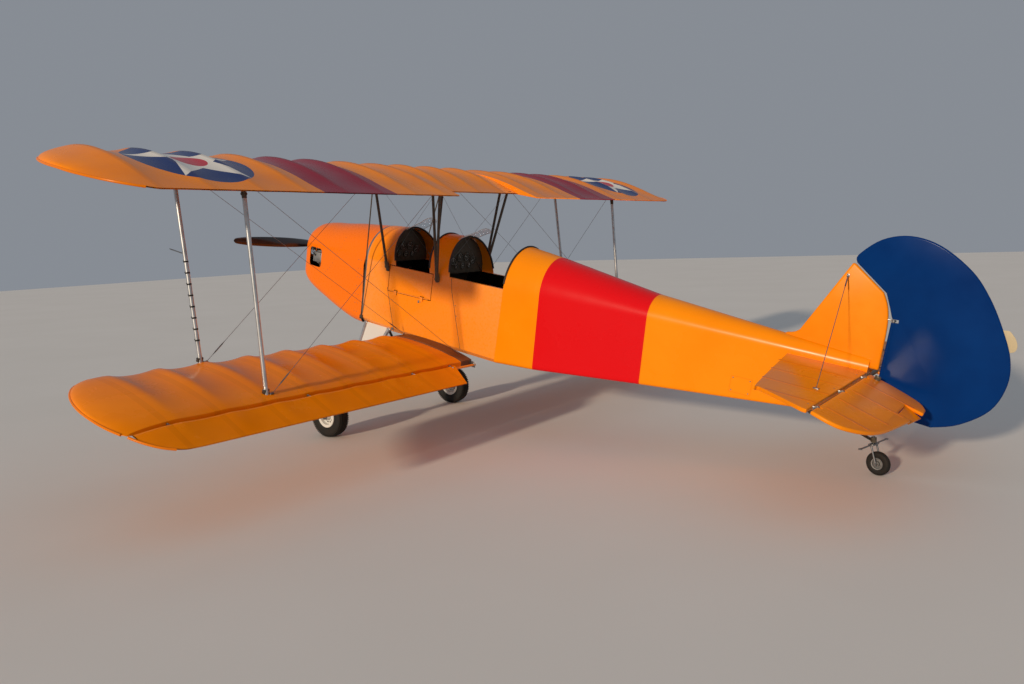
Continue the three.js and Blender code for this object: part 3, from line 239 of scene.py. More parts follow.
def bolt(place, axis, across=9.0, tall=6.0):
    """A hexagon head on a washer, with its top edge worn round."""
    place, axis = Vector(place), Vector(axis).normalized()
    washer = tube(place, place + axis * tall * 0.3, across * 0.8, 16)
    head = tube(place + axis * tall * 0.3, place + axis * tall, across * 0.55, 6)
    return joined("bolt", [washer, soften(head, 0.5, 1)])


def rope(points, radius, sides=8):
    """A bent tube or wire that runs smoothly through the points."""
    bend = bpy.data.curves.new("bend", "CURVE")
    bend.dimensions, bend.bevel_depth, bend.bevel_resolution, bend.resolution_u = "3D", radius, sides // 4, 6
    bend.use_fill_caps = True
    line = bend.splines.new("BEZIER")
    line.bezier_points.add(len(points) - 1)
    for knot, place in zip(line.bezier_points, points):
        knot.co = place
        knot.handle_left_type = knot.handle_right_type = "AUTO"
    piece = bpy.data.objects.new("bend", bend)
    bpy.context.scene.collection.objects.link(piece)
    pick(piece)
    bpy.ops.object.convert(target="MESH")
    return bpy.context.object


def turned(profile, place, axis, steps=48):
    """Spins a closed profile of radius and distance along the axis, as on a lathe."""
    deselect()
    bpy.ops.mesh.primitive_circle_add(vertices=len(profile), radius=1)
    piece = bpy.context.object
    for vertex, (radius, along) in zip(piece.data.vertices, profile):
        vertex.co = Vector((radius, 0, along))
    edit(piece)
    bpy.ops.mesh.select_all(action="SELECT")
    bpy.ops.mesh.spin(steps=steps, angle=math.tau, center=(0, 0, 0), axis=(0, 0, 1))
    bpy.ops.mesh.select_all(action="SELECT")
    bpy.ops.mesh.remove_doubles(threshold=0.01)
    close(piece)
    turn = Vector(axis).to_track_quat("Z", "Y").to_matrix().to_4x4()
    return settle(piece, turn, Matrix.Translation(place))


def skin(name, across, along, place, ends=True):
    """A grid wrapped into a form by place(share across, share along). Seams are merged and ends closed."""
    deselect()
    bpy.ops.mesh.primitive_grid_add(x_subdivisions=across, y_subdivisions=along, size=2)
    piece = named(name)
    for vertex in piece.data.vertices:
        vertex.co = place((vertex.co.x + 1) / 2, (vertex.co.y + 1) / 2)
    edit(piece, "EDGE")
    bpy.ops.mesh.select_all(action="SELECT")
    bpy.ops.mesh.remove_doubles(threshold=0.02)
    bpy.ops.mesh.select_all(action="DESELECT")
    if ends:
        bpy.ops.mesh.select_non_manifold(extend=False, use_multi_face=False)
        bpy.ops.mesh.fill_holes(sides=0)
    return close(piece)


def outline_plate(name, outline, half, edge, axis="Y"):
    """Cloth over a flat frame of tube: an outline filled, thickened to both sides and rounded at its rim."""
    deselect()
    bpy.ops.mesh.primitive_circle_add(vertices=len(outline), radius=1, fill_type="NGON")
    piece = named(name)
    for vertex, (along, other) in zip(piece.data.vertices, outline):
        vertex.co = (along, -half, other) if axis == "Y" else (along, other, -half)
    edit(piece, "FACE")
    bpy.ops.mesh.select_all(action="SELECT")
    bpy.ops.mesh.extrude_region_move()
    shift = (0, 2 * half, 0) if axis == "Y" else (0, 0, 2 * half)
    bpy.ops.transform.translate(value=shift)
    close(piece)
    return soften(piece, edge, 4, 50)


def smooth_at(table, t, column=1):
    """A column's value at t, on a smooth curve through the rows of a table whose first column rises."""
    last = len(table) - 1
    t = min(max(t, table[0][0]), table[last][0])
    i = max(k for k in range(last) if table[k][0] <= t)

    def slope(k):
        a, b = table[max(k - 1, 0)], table[min(k + 1, last)]
        return (b[column] - a[column]) / (b[0] - a[0])

    a, b = table[i], table[i + 1]
    wide = b[0] - a[0]
    s = (t - a[0]) / wide
    rise = (b[column] - a[column]) * (3 * s * s - 2 * s ** 3)
    return a[column] + rise + wide * (slope(i) * (s ** 3 - 2 * s * s + s) + slope(i + 1) * (s ** 3 - s * s))


def straight_at(table, x):
    """The row of a table of stations at x, mixed straight between its neighbours. The stations fall in x."""
    for a, b in zip(table, table[1:]):
        if x >= b[0]:
            break
    t = min(max((a[0] - x) / (a[0] - b[0]), 0), 1)
    return [p + (q - p) * t for p, q in zip(a, b)]


# Finishes

def linear(code):
    """A colour given as sRGB hex, as the shader wants it."""
    parts = [int(code[i:i + 2], 16) / 255 for i in (1, 3, 5)]
    return (*(c / 12.92 if c <= 0.04045 else ((c + 0.055) / 1.055) ** 2.4 for c in parts), 1)


def add_node(tree, kind, inputs=None, **settings):
    """Adds a node with its settings. An input is a value, a socket or a node, for its first output."""
    made = tree.nodes.new(kind)
    for setting, value in settings.items():
        setattr(made, setting, value)
    for name, value in (inputs or {}).items():
        if isinstance(value, bpy.types.Node):
            value = value.outputs[0]
        if isinstance(value, bpy.types.NodeSocket):
            tree.links.new(value, made.inputs[name])
        else:
            made.inputs[name].default_value = value
    return made


def maths(tree, operation, *values):
    return add_node(tree, "ShaderNodeMath", dict(enumerate(values)), operation=operation)


def blend(tree, share, first, second):
    """Two colours mixed: the first one at a share of 0, the second one at 1."""
    return add_node(tree, "ShaderNodeMixRGB", {0: share, 1: first, 2: second})


def noise(tree, place, scale, detail, **more):
    return add_node(tree, "ShaderNodeTexNoise", {"Vector": place, "Scale": scale, "Detail": detail, **more})


def ranged(tree, value, low, high, at_low, at_high):
    """A value between two limits, moved to lie between two others."""
    return add_node(tree, "ShaderNodeMapRange", {0: value, 1: low, 2: high, 3: at_low, 4: at_high})


def between(tree, value, low, high):
    """1 where a value lies between two limits, and 0 elsewhere."""
    middle = maths(tree, "SUBTRACT", value, (low + high) / 2)
    off = maths(tree, "ABSOLUTE", middle)
    return maths(tree, "LESS_THAN", off, (high - low) / 2)


def start_finish(name, roughness=0.5, metallic=0.0, **sockets):
    """A new material: its tree, its shader, and airframe places in metres from the piece's coordinates."""
    material = bpy.data.materials.new(name)
    material.use_nodes = True
    tree = material.node_tree
    shader = next(n for n in tree.nodes if n.type == "BSDF_PRINCIPLED")
    for socket, value in {"Roughness": roughness, "Metallic": metallic, **sockets}.items():
        shader.inputs[socket].default_value = value
    back = FLIGHT.inverted()
    texture = add_node(tree, "ShaderNodeTexCoord")
    place = add_node(tree, "ShaderNodeMapping", {
        "Vector": texture.outputs["Object"], "Location": back.translation, "Rotation": back.to_euler()})
    return material, tree, shader, place


def link_finish(tree, shader, colour=None, roughness=None, height=None, strength=0.3, distance=0.001):
    """Joins a finish's colour, gloss and relief to its shader."""
    if colour is not None:
        tree.links.new(colour.outputs[0], shader.inputs["Base Color"])
    if roughness is not None:
        tree.links.new(roughness.outputs[0], shader.inputs["Roughness"])
    if height is not None:
        bump = add_node(tree, "ShaderNodeBump",
                        {"Height": height, "Strength": strength, "Distance": distance})
        tree.links.new(bump.outputs[0], shader.inputs["Normal"])


RIB_PITCH = 0.330
STAR = Vector((3.655, 2.480, 0))
STAR_R = 0.374


def doped_cloth(name, dope, shade, ribs=False, star=False, stripe=None, band=None, gloss=0.14,
                shine=(0.2, 0.32)):
    """Cloth shrunk tight and brushed with coloured dope: an even gloss over a faint thread, cloudy from
    brush strokes, with doped tapes over the ribs. Painted stripes and roundels lie in the same gloss."""
    material, tree, shader, place = start_finish(name, 0.36)
    shader.inputs["Specular IOR Level"].default_value = gloss
    cloud = noise(tree, place, 2.2, 5.0, Roughness=0.6)
    spread = ranged(tree, cloud, 0.35, 0.65, 0.0, 1.0)
    colour = blend(tree, spread, linear(shade), linear(dope))
    parts = add_node(tree, "ShaderNodeSeparateXYZ", {0: place})
    out = maths(tree, "ABSOLUTE", parts.outputs[1])
    if stripe:
        paint, inner, outer = stripe
        colour = blend(tree, between(tree, out, inner, outer), colour, linear(paint))
    if band:
        paint, rear, front, lean = band
        slant = maths(tree, "MULTIPLY", parts.outputs[2], lean)
        upright = maths(tree, "ADD", parts.outputs[0], slant)
        colour = blend(tree, between(tree, upright, rear, front), colour, linear(paint))
    if star:
        colour = roundel(tree, colour, parts.outputs[0], out)
    thread = noise(tree, place, 420.0, 2.0)
    height = maths(tree, "MULTIPLY", thread, 0.25)
    if ribs:
        shifted = maths(tree, "ADD", out, RIB_PITCH / 2)
        bay = maths(tree, "FLOORED_MODULO", shifted, RIB_PITCH)
        centred = maths(tree, "SUBTRACT", bay, RIB_PITCH / 2)
        from_rib = maths(tree, "ABSOLUTE", centred)
        tape = ranged(tree, from_rib, 0.019, 0.022, 1.0, 0.0)
        height = maths(tree, "ADD", height, tape)
        darker = maths(tree, "MULTIPLY", tape, 0.08)
        colour = blend(tree, darker, colour, linear("#5A2408"))
    slack = noise(tree, place, 5.0, 1.0)
    pulled = maths(tree, "MULTIPLY_ADD", slack, 4.0, height)
    rough = ranged(tree, cloud, 0.3, 0.7, shine[0], shine[1])
    link_finish(tree, shader, colour, rough, pulled, 0.5, 0.0006)
    return material


def roundel(tree, ground, x, out):
    """A blue disc with a white five-pointed star and a red centre, painted on both upper wings."""
    dx = maths(tree, "SUBTRACT", x, STAR.x)
    dy = maths(tree, "SUBTRACT", out, STAR.y)
    flat = add_node(tree, "ShaderNodeCombineXYZ", {0: dx, 1: dy})
    far = add_node(tree, "ShaderNodeVectorMath", {0: flat}, operation="LENGTH")
    angle = maths(tree, "ARCTAN2", dy, dx)
    eased = maths(tree, "ADD", angle, math.radians(36))
    wedge = maths(tree, "FLOORED_MODULO", eased, math.radians(72))
    centred = maths(tree, "SUBTRACT", wedge, math.radians(36))
    from_tip = maths(tree, "ABSOLUTE", centred)
    lean = maths(tree, "SUBTRACT", math.radians(72), from_tip)
    share = maths(tree, "COSINE", lean)
    reach = maths(tree, "MULTIPLY", share, far.outputs["Value"])
    point = maths(tree, "LESS_THAN", reach, STAR_R * math.cos(math.radians(72)))
    disc = maths(tree, "LESS_THAN", far.outputs["Value"], STAR_R)
    centre = maths(tree, "LESS_THAN", far.outputs["Value"], STAR_R * 0.29)
    blue = blend(tree, disc, ground, linear("#14306E"))
    within = maths(tree, "MULTIPLY", point, disc)
    white = blend(tree, within, blue, linear("#E6E2DA"))
    return blend(tree, centre, white, linear("#C02038"))


def sprayed_sheet(name, paint, shade, gloss=0.28, inner_shade=None):
    """Sheet metal sprayed with enamel: a wet gloss with a fine peel, rubbed paler along its hard edges.
    Given a dark inner colour, the faces that look into the cockpits have it instead, as painted shade."""
    material, tree, shader, place = start_finish(name, gloss)
    shader.inputs["Specular IOR Level"].default_value = 0.2
    shader.inputs["Coat Weight"].default_value = 0.12
    shader.inputs["Coat Roughness"].default_value = 0.12
    cloud = noise(tree, place, 1.6, 4.0)
    colour = blend(tree, cloud, linear(shade), linear(paint))
    geometry = add_node(tree, "ShaderNodeNewGeometry")
    edge = ranged(tree, geometry.outputs["Pointiness"], 0.53, 0.62, 0.0, 0.2)
    chips = noise(tree, place, 60.0, 6.0)
    worn = maths(tree, "MULTIPLY", edge, chips)
    colour = blend(tree, worn, colour, linear("#E8D8B8"))
    # Painted shade: the inward faces take the dark inner colour, standing for the dim inside of the hull and
    # cowl.
    if inner_shade:
        texture = next(n for n in tree.nodes if n.type == "TEX_COORD")
        facing = add_node(tree, "ShaderNodeMapping", {
            "Vector": texture.outputs["Normal"], "Rotation": FLIGHT.inverted().to_euler()})
        across = add_node(tree, "ShaderNodeVectorMath", {0: place, 1: (0, 1, 1)}, operation="MULTIPLY")
        from_axis = add_node(tree, "ShaderNodeVectorMath", {0: across, 1: (0, 0, 0.55)},
                             operation="SUBTRACT")
        outward = add_node(tree, "ShaderNodeVectorMath", {0: facing, 1: from_axis}, operation="DOT_PRODUCT")
        inner = maths(tree, "LESS_THAN", outward.outputs["Value"], 0.0)
        colour = blend(tree, inner, colour, linear(inner_shade))
    peel = noise(tree, place, 260.0, 1.0)
    rough = ranged(tree, chips, 0.3, 0.8, gloss - 0.06, gloss + 0.14)
    link_finish(tree, shader, colour, rough, peel, 0.12, 0.0004)
    return material


def bare_metal(name, tone, dark, roughness, grain=180.0, metallic=0.95, stretch=(1, 1, 1)):
    """Metal as drawn, brushed or turned: fine lines along the grain, duller where oily hands have been."""
    material, tree, shader, place = start_finish(name, roughness, metallic)
    drawn = add_node(tree, "ShaderNodeMapping", {0: place, "Scale": stretch})
    lines = noise(tree, drawn, grain, 3.0)
    blotch = noise(tree, place, 14.0, 5.0)
    dull = ranged(tree, blotch, 0.45, 0.75, 0.0, 0.7)
    colour = blend(tree, dull, linear(tone), linear(dark))
    rough = ranged(tree, lines, 0.2, 0.8, roughness - 0.08, roughness + 0.16)
    link_finish(tree, shader, colour, rough, lines, 0.15, 0.0003)
    return material


def moulded_rubber(name, tone, dust, scale=320.0):
    """Rubber out of a mould: black and dull with fine pores, greyed by dust and grass in its hollows."""
    material, tree, shader, place = start_finish(name, 0.8)
    pores = noise(tree, place, scale, 3.0)
    film = noise(tree, place, 9.0, 6.0)
    dusty = ranged(tree, film, 0.4, 0.75, 0.05, 0.5)
    colour = blend(tree, dusty, linear(tone), linear(dust))
    rough = ranged(tree, film, 0, 1, 0.62, 0.92)
    link_finish(tree, shader, colour, rough, pores, 0.35, 0.0006)
    return material


def varnished_wood(name, light, dark, along=(0.6, 9.0, 9.0)):
    """Laminated hardwood under dark varnish: long grain along the blade, thin glue lines, wet gloss."""
    material, tree, shader, place = start_finish(name, 0.3)
    shader.inputs["Coat Weight"].default_value = 0.7
    shader.inputs["Coat Roughness"].default_value = 0.08
    grained = add_node(tree, "ShaderNodeMapping", {0: place, "Scale": along})
    rings = noise(tree, grained, 22.0, 6.0, Distortion=0.6)
    plies = add_node(tree, "ShaderNodeTexWave", {"Vector": place, "Scale": 38.0, "Distortion": 0.3},
                     bands_direction="X")
    mixed = maths(tree, "MULTIPLY", rings, plies)
    colour = blend(tree, mixed, linear(dark), linear(light))
    link_finish(tree, shader, colour, None, rings, 0.12, 0.0004)
    return material


def grained_hide(name, tone, worn, scale=150.0):
    """Leathercloth: cells of pressed grain, rubbed shinier and paler where it bulges."""
    material, tree, shader, place = start_finish(name, 0.55)
    cells = add_node(tree, "ShaderNodeTexVoronoi", {"Vector": place, "Scale": scale},
                     feature="DISTANCE_TO_EDGE")
    blotch = noise(tree, place, 12.0, 4.0)
    colour = blend(tree, blotch, linear(tone), linear(worn))
    rough = ranged(tree, blotch, 0, 1, 0.42, 0.68)
    link_finish(tree, shader, colour, rough, cells, 0.5, 0.0008)
    return material


def woven_webbing(name, tone, worn):
    """Belt webbing: flat ribs of thread across the strap, soft and without gloss."""
    material, tree, shader, place = start_finish(name, 0.85)
    ribs = add_node(tree, "ShaderNodeTexWave", {"Vector": place, "Scale": 160.0, "Distortion": 0.4},
                    bands_direction="Y")
    fray = noise(tree, place, 40.0, 5.0)
    colour = blend(tree, fray, linear(tone), linear(worn))
    link_finish(tree, shader, colour, None, ribs, 0.5, 0.0006)
    return material


def blown_screen(name):
    """Thin acrylic sheet blown to a curve: clear and slightly grey, with hairline scratches in the light."""
    material, tree, shader, place = start_finish(name, 0.04)
    for socket, value in {"Transmission Weight": 0.9, "IOR": 1.49, "Alpha": 0.22}.items():
        shader.inputs[socket].default_value = value
    streak = add_node(tree, "ShaderNodeMapping", {0: place, "Scale": (3, 40, 3)})
    hair = noise(tree, streak, 30.0, 8.0)
    colour = blend(tree, hair, linear("#C8D0D2"), linear("#EEF2F2"))
    rough = ranged(tree, hair, 0.5, 0.7, 0.02, 0.16)
    link_finish(tree, shader, colour, rough, hair, 0.03, 0.0002)
    return material


ORANGE_CLOTH = doped_cloth("orange_doped_cloth", "#FC9208", "#F18604")
WING_CLOTH = doped_cloth("orange_doped_wing_cloth", "#FC9008", "#F28604", ribs=True)
TOP_CLOTH = doped_cloth("orange_wing_cloth_with_roundel", "#FC9008", "#F28604", ribs=True, star=True,
                        stripe=("#8E1230", 1.205, 1.857))
BODY_CLOTH = doped_cloth("orange_cloth_with_red_band", "#FC9206", "#F68C04",
                         band=("#DC1018", 1.640, 2.490, -0.045))
BLUE_CLOTH = doped_cloth("blue_doped_cloth", "#053474", "#042C68", gloss=0.06, shine=(0.14, 0.2))
TAPE_CLOTH = doped_cloth("orange_pinked_tape", "#F08206", "#E27804")
ORANGE_SHEET = sprayed_sheet("orange_sprayed_sheet", "#FF9204", "#FC8C02")
# These two sheets paint their inward faces dark, as painted shade inside the cowl and the cockpits.
COWL_SHEET = sprayed_sheet("deep_orange_cowl_enamel", "#FC7C02", "#F67402", inner_shade="#1C120A")
SHADED_INSIDE_SHEET = sprayed_sheet("orange_sheet_with_painted_inner_shade", "#FF9202", "#FC8C02", inner_shade="#120D09")
CREAM_SHEET = sprayed_sheet("cream_sprayed_sheet", "#C6B896", "#B8AA8A")
WHITE_SHEET = sprayed_sheet("white_sprayed_alloy", "#E4E4E0", "#CFCFCA", 0.35)
# The root strip's dark brown is painted shade: the shadow in the gap between the lower wing's root and the
# fuselage.
ROOT_SHADE_SHEET = sprayed_sheet("root_strip_brown_painted_shade", "#74442E", "#5A3422", 0.5)
DIAL = sprayed_sheet("matt_dial_face", "#0C0C0C", "#080808", 0.7)
BLACK_TUBE = sprayed_sheet("black_enamelled_tube", "#1E1A18", "#141110", 0.4)
DARK_SHEET = sprayed_sheet("dark_inner_paint", "#33291F", "#241C15", 0.6)
SILVER_TUBE = bare_metal("silver_drawn_tube", "#C4C8CA", "#8E9294", 0.32, 120.0, 0.85, (40, 40, 1))
STEEL = bare_metal("bright_steel_fitting", "#8E9092", "#55585A", 0.34)
CAST_ALLOY = bare_metal("sand_cast_alloy", "#8D8F90", "#4A4744", 0.55, 240.0, 0.8)
FIREPROOF = bare_metal("stainless_firewall", "#9EA2A4", "#6C6E70", 0.35, 90.0, 0.9, (1, 1, 30))
BURNT_STEEL = bare_metal("heat_blued_exhaust", "#6E5A48", "#3A2C22", 0.45, 60.0, 0.9)
RUBBER = moulded_rubber("moulded_tyre_rubber", "#080706", "#2A2218")
GRIP = moulded_rubber("ribbed_grip_rubber", "#181716", "#2C2A28", 500.0)
PROP_WOOD = varnished_wood("laminated_propeller_wood", "#2C140C", "#0E0706")
WEBBING = woven_webbing("woven_belt_webbing", "#4A4232", "#2E2A20")
HIDE = grained_hide("black_leathercloth", "#191614", "#2E2926")
SCREEN = blown_screen("blown_acrylic_screen")


# Wings

# Square root of the share of chord aft of the leading edge, then upper and lower height as shares of it
AIRFOIL = [
    (0.000, 0.031, 0.031), (0.089, 0.055, 0.010), (0.173, 0.077, 0.002), (0.300, 0.106, 0.000),
    (0.447, 0.129, 0.000), (0.592, 0.138, 0.000), (0.721, 0.126, 0.000), (0.837, 0.093, 0.002),
    (0.927, 0.051, 0.005), (1.000, 0.016, 0.008),
]
# Places in millimetres and angles in degrees. The thick is a factor on the heights above. The spar is the
# share of the chord where the cloth is held down before the tail. The shift moves the ribs inboard, and the
# scallop is how far the rear edge is drawn in between them.
UPPER = {"lead": 4175, "chord": 1017, "low": 1248, "tilt": 1.0, "rise": 0.0, "thick": 1.0, "spar": 1.0,
         "shift": 0, "scallop": 7}
LOWER = {"lead": 3788, "chord": 1000, "low": -79, "tilt": 3.5, "rise": 0.8, "thick": 0.74, "spar": 0.74,
         "shift": 73, "scallop": 0}
RIB_MM, LAST_RIB, HALF_SPAN = 330, 2970, 3240
HINGE_X, HINGE_Z = 2995, -38
AILERON_DROOP = 4
AILERON_ROOT = 600
WING_REAR = HINGE_X + 36
TOP_SAG, NOSE_SAG, UNDER_SAG, FLAP_SAG = 25, 11, 9, 7
UPPER_ROOT, CENTRE_HALF, LOWER_ROOT = 516.15, 515.8, 430
NOSE_OUT = 26
CUT_OUT = 208
MEAN_HEIGHT = 0.034
TIP_DIP, TIP_FLAT, TIP_ROUND = 0.22, 0.14, 0.15
LAST_COLUMN = 0.999
FILLER_Y, FILLER_WIDE = 295.3, 134.4


def slack_at(wing, y):
    """How far the cloth hangs at y, from 0 on a rib, where it is creased, to 1 midway to the next."""
    bay = ((y + wing["shift"]) / RIB_MM) % 1
    return 4 * bay * (1 - bay) if y < LAST_RIB - wing["shift"] else 0


def wing_point(wing, y, share, upper, tip=1.0, chord=None):
    """A place on the cloth at a share of the chord. The tip is the share of it that the round end leaves."""
    full = wing["chord"]
    chord = full if chord is None else chord
    inset = full * (1 - tip) / 2
    share = min(max(share, 0), 1)
    slack = slack_at(wing, y)
    fore = min(share / wing["spar"], 1)
    aft = (share - wing["spar"]) / (1 - wing["spar"]) if share > wing["spar"] else 0
    hang = math.sin(math.pi * fore ** 0.55)
    tall = smooth_at(AIRFOIL, math.sqrt(share), 1 if upper else 2) * full * wing["thick"]
    middle = MEAN_HEIGHT * full * wing["thick"]
    if upper:
        tall -= slack * (TOP_SAG * hang + 4 * (1 - fore ** 8) + FLAP_SAG * math.sin(math.pi * aft ** 0.6))
    else:
        tall += slack * UNDER_SAG * hang
    over_tip = max(y - (LAST_RIB - wing["shift"]), 0) / (HALF_SPAN - LAST_RIB + wing["shift"])
    dip = 1 - TIP_DIP * math.sin(math.pi * min(over_tip, 1))
    tall = middle + (tall - middle) * (TIP_FLAT + (1 - TIP_FLAT) * tip ** 2) * min(1, tip / TIP_ROUND) * dip
    nose = NOSE_SAG * slack * (1 - share) ** 10
    tail = wing["scallop"] * slack * share ** 12
    back = share * chord * tip - tail + nose
    tilt = math.radians(wing["tilt"])
    x = wing["lead"] - inset - back * math.cos(tilt) + tall * math.sin(tilt)
    z = wing["low"] + tall * math.cos(tilt) + (full - inset - back) * math.sin(tilt)
    return Vector((x, y, z + math.tan(math.radians(wing["rise"])) * y))


def span_stations(root, steps=12):
    """Y and tip share of every station: a rib at each pitch, fine steps between, then round the tip."""
    fine = RIB_MM / steps
    ys = [root] + [k * fine for k in range(int(root // fine) + 1, int(LAST_RIB // fine) + 1)]
    turns = [math.radians(a) for a in (*range(6, 86, 8), 84, 88, 90)]
    tips = [(LAST_RIB + (HALF_SPAN - LAST_RIB) * math.sin(a), max(math.cos(a), 0.0)) for a in turns]
    return [(y, 1.0) for y in ys] + tips


CHORD_STEPS = 56


def closed_wing(name, wing, rows, chord=None):
    """A wing panel in cloth through its stations. A shorter chord cuts its rear edge away."""
    def place(across, along):
        y, tip = rows[round(along * (len(rows) - 1))]
        around = 2 * across - 1
        return wing_point(wing, y, around * around, around < 0, tip, chord)

    return skin(name, CHORD_STEPS, len(rows) - 1, place)


def cut_wing(name, wing, root):
    """The lower wing ends in a flat spar face ahead of its aileron."""
    rows = span_stations(root)

    def place(across, along):
        y, tip = rows[round(along * (len(rows) - 1))]
        inset = wing["chord"] * (1 - tip) / 2
        room = (wing["lead"] - inset - WING_REAR) / max(wing["chord"] * tip, 1)
        last = math.sqrt(min(room, 1))
        around = max(min((2 * across - 1) * (CHORD_STEPS + 2) / CHORD_STEPS, 1), -1)
        share = (around * last) ** 2
        if abs(2 * across - 1) > LAST_COLUMN:
            top = wing_point(wing, y, last ** 2, True, tip)
            return top.lerp(wing_point(wing, y, last ** 2, False, tip), 0.5)
        return wing_point(wing, y, share, around < 0, tip)

    return skin(name, CHORD_STEPS + 2, len(rows) - 1, place)


def aileron(name):
    """A narrow wing of its own behind the hinge, with a round nose, the wing tip's curve at its outer end
    and a slanted inner end."""
    rows = [row for row in span_stations(AILERON_ROOT) if row[1] > 0.62]

    def place(across, along):
        y, tip = rows[round(along * (len(rows) - 1))]
        inset = LOWER["chord"] * (1 - tip) / 2
        start = min((LOWER["lead"] - inset - HINGE_X) / (LOWER["chord"] * tip), 1)
        around = 2 * across - 1
        if abs(around) >= 0.2:
            aft = (abs(around) - 0.2) / 0.8
            spot = wing_point(LOWER, y, start + (1 - start) * aft, around < 0, tip)
        else:
            aft = 0
            top, under = (wing_point(LOWER, y, start, upper, tip) for upper in (True, False))
            lean = around / 0.2 * math.pi / 2
            nose = Vector((NOSE_OUT * math.cos(lean), 0, 0))
            spot = (top + under) / 2 + nose - (top - under) / 2 * math.sin(lean)
        spot.y += (95 * aft - 50) * max(0, 1 - (y - AILERON_ROOT) / 150)
        return spot

    return skin(name, 40, len(rows) - 1, place)


def tip_bow(wing, turns):
    """The tube under the cloth of a wing tip, through places from the nose, at 0, to the tail, at 180."""
    places = []
    for turn in turns:
        across = math.radians(min(turn, 180 - turn))
        y, tip = LAST_RIB + (HALF_SPAN - LAST_RIB) * math.sin(across), max(math.cos(across), 0.001)
        upper, under = (wing_point(wing, y, 0 if turn < 90 else 1, side, tip) for side in (True, False))
        places.append((upper + under) / 2)
    return rope(places, 7.5, 12)


def aileron_move(side):
    """The aileron's stand at rest: its droop down on the port side, up on the starboard side."""
    hinge = Vector((HINGE_X, 0, HINGE_Z))
    rise = Matrix.Rotation(side * math.radians(LOWER["rise"]), 4, "X")
    droop = Matrix.Rotation(-side * math.radians(AILERON_DROOP), 4, "Y")
    return Matrix.Translation(hinge) @ rise @ droop @ rise.inverted() @ Matrix.Translation(-hinge)


def hinge_place(y, x=0, z=0):
    """A place at y on the aileron's hinge line, moved by x and z."""
    return Vector((HINGE_X + x, y, HINGE_Z + z + math.tan(math.radians(LOWER["rise"])) * y))


def make_wings():
    fit_pair(closed_wing("upper", UPPER, span_stations(UPPER_ROOT)), "upper_wing_skin", TOP_CLOTH,
             "airframe", "orange_fabric", "upper_wing", angle=50)
    across = [(-CENTRE_HALF, 1.0), *((k * 27.5, 1.0) for k in range(-18, 19)), (CENTRE_HALF, 1.0)]
    centre = closed_wing("upper_wing_centre_skin", UPPER, across, UPPER["chord"] - CUT_OUT)
    fit(centre, WING_CLOTH, "airframe", "orange_fabric", "upper_wing_centre", angle=50)
    fit_pair(cut_wing("lower", LOWER, LOWER_ROOT), "lower_wing_skin", WING_CLOTH, "airframe",
             "orange_fabric", "lower_wing", angle=50)
    flaps = {
        "aileron_skin": (aileron("flap"), WING_CLOTH, "orange_fabric", ["aileron_{}"]),
        "aileron_tip_bow": (tip_bow(LOWER, (124, 132, 142, 152, 164)), TAPE_CLOTH, "orange_fabric", []),
        "aileron_torque_tube": (
            tube(hinge_place(301), hinge_place(640), 9, 20), ORANGE_SHEET, "orange_fabric", []),
    }
    for name, (flap, finish, slot, nodes) in flaps.items():
        for side, sign in SIDES:
            moves = [aileron_move(sign)] if sign > 0 else [MIRROR, aileron_move(sign)]
            fit(copied(flap, f"{name}_{side}", *moves), finish, f"{side}_aileron", slot,
                *(node.format(side) for node in nodes), angle=50)
        bpy.data.objects.remove(flap)
    bows = [tip_bow(LOWER, (16, 28, 38, 48, 58, 68, 78, 90, 102, 110, 118)),
            tip_bow(UPPER, (16, 28, 38, 48, 58, 68, 78, 90, 102, 112, 122, 132, 142, 152, 164))]
    fit(both(bows, "wing_tip_bows"), TAPE_CLOTH, "airframe", "orange_fabric")
    brackets = []
    for y in (306, 578, 1000, 1980, 2960):
        brackets += [box(hinge_place(y - 3, 8, -16), hinge_place(y + 3, 44, 20), 2),
                     bolt(hinge_place(y, 30, 18), (0, 0, 1), 8, 4)]
    for y in (318, 590):
        brackets += [box(hinge_place(y - 3, -16, -20), hinge_place(y + 3, 20, 22), 3),
                     ball(hinge_place(y, 0, 12), 10)]
    fit(both(brackets, "aileron_hinge_brackets"), STEEL, "airframe", "steel")
    last = math.sqrt((LOWER["lead"] - WING_REAR - 4) / LOWER["chord"])

    def filler(across, along):
        around = max(min((2 * across - 1) * 42 / 40, 1), -1)
        y = FILLER_Y + along * FILLER_WIDE
        spot = wing_point(LOWER, 0, (around * last) ** 2, around < 0)
        if abs(2 * across - 1) > LAST_COLUMN:
            spot = wing_point(LOWER, 0, last ** 2, True).lerp(wing_point(LOWER, 0, last ** 2, False), 0.5)
        rise = math.tan(math.radians(LOWER["rise"])) * y
        return Vector((spot.x, y, spot.z - 4 * math.cos(around * math.pi / 2) ** 2 + rise))

    # The root strip gets the brown that paints the shade at the wing root.
    fit_pair(skin("root_strip", 42, 4, filler), "root_strip", ROOT_SHADE_SHEET, "airframe", "orange_fabric",
             "root_filler")


make_wings()


# Fuselage

# X, half width, belly, longeron and top heights, and the belly's corner cut
HULL = [
    (4272, 295, 0, 562, 846, 60), (3877, 295, 6, 574, 872, 40), (2826, 295, 22, 605, 921, 30),
    (2492, 262, 50, 615, 890, 26), (1698, 184, 152, 635, 792, 22), (764, 94, 263, 634, 735, 18),
    (212, 44, 329, 634, 700, 14),
]
SIDE_SHARE = 0.42
DECK_GAP, DECK_THICK = 0.3, 6


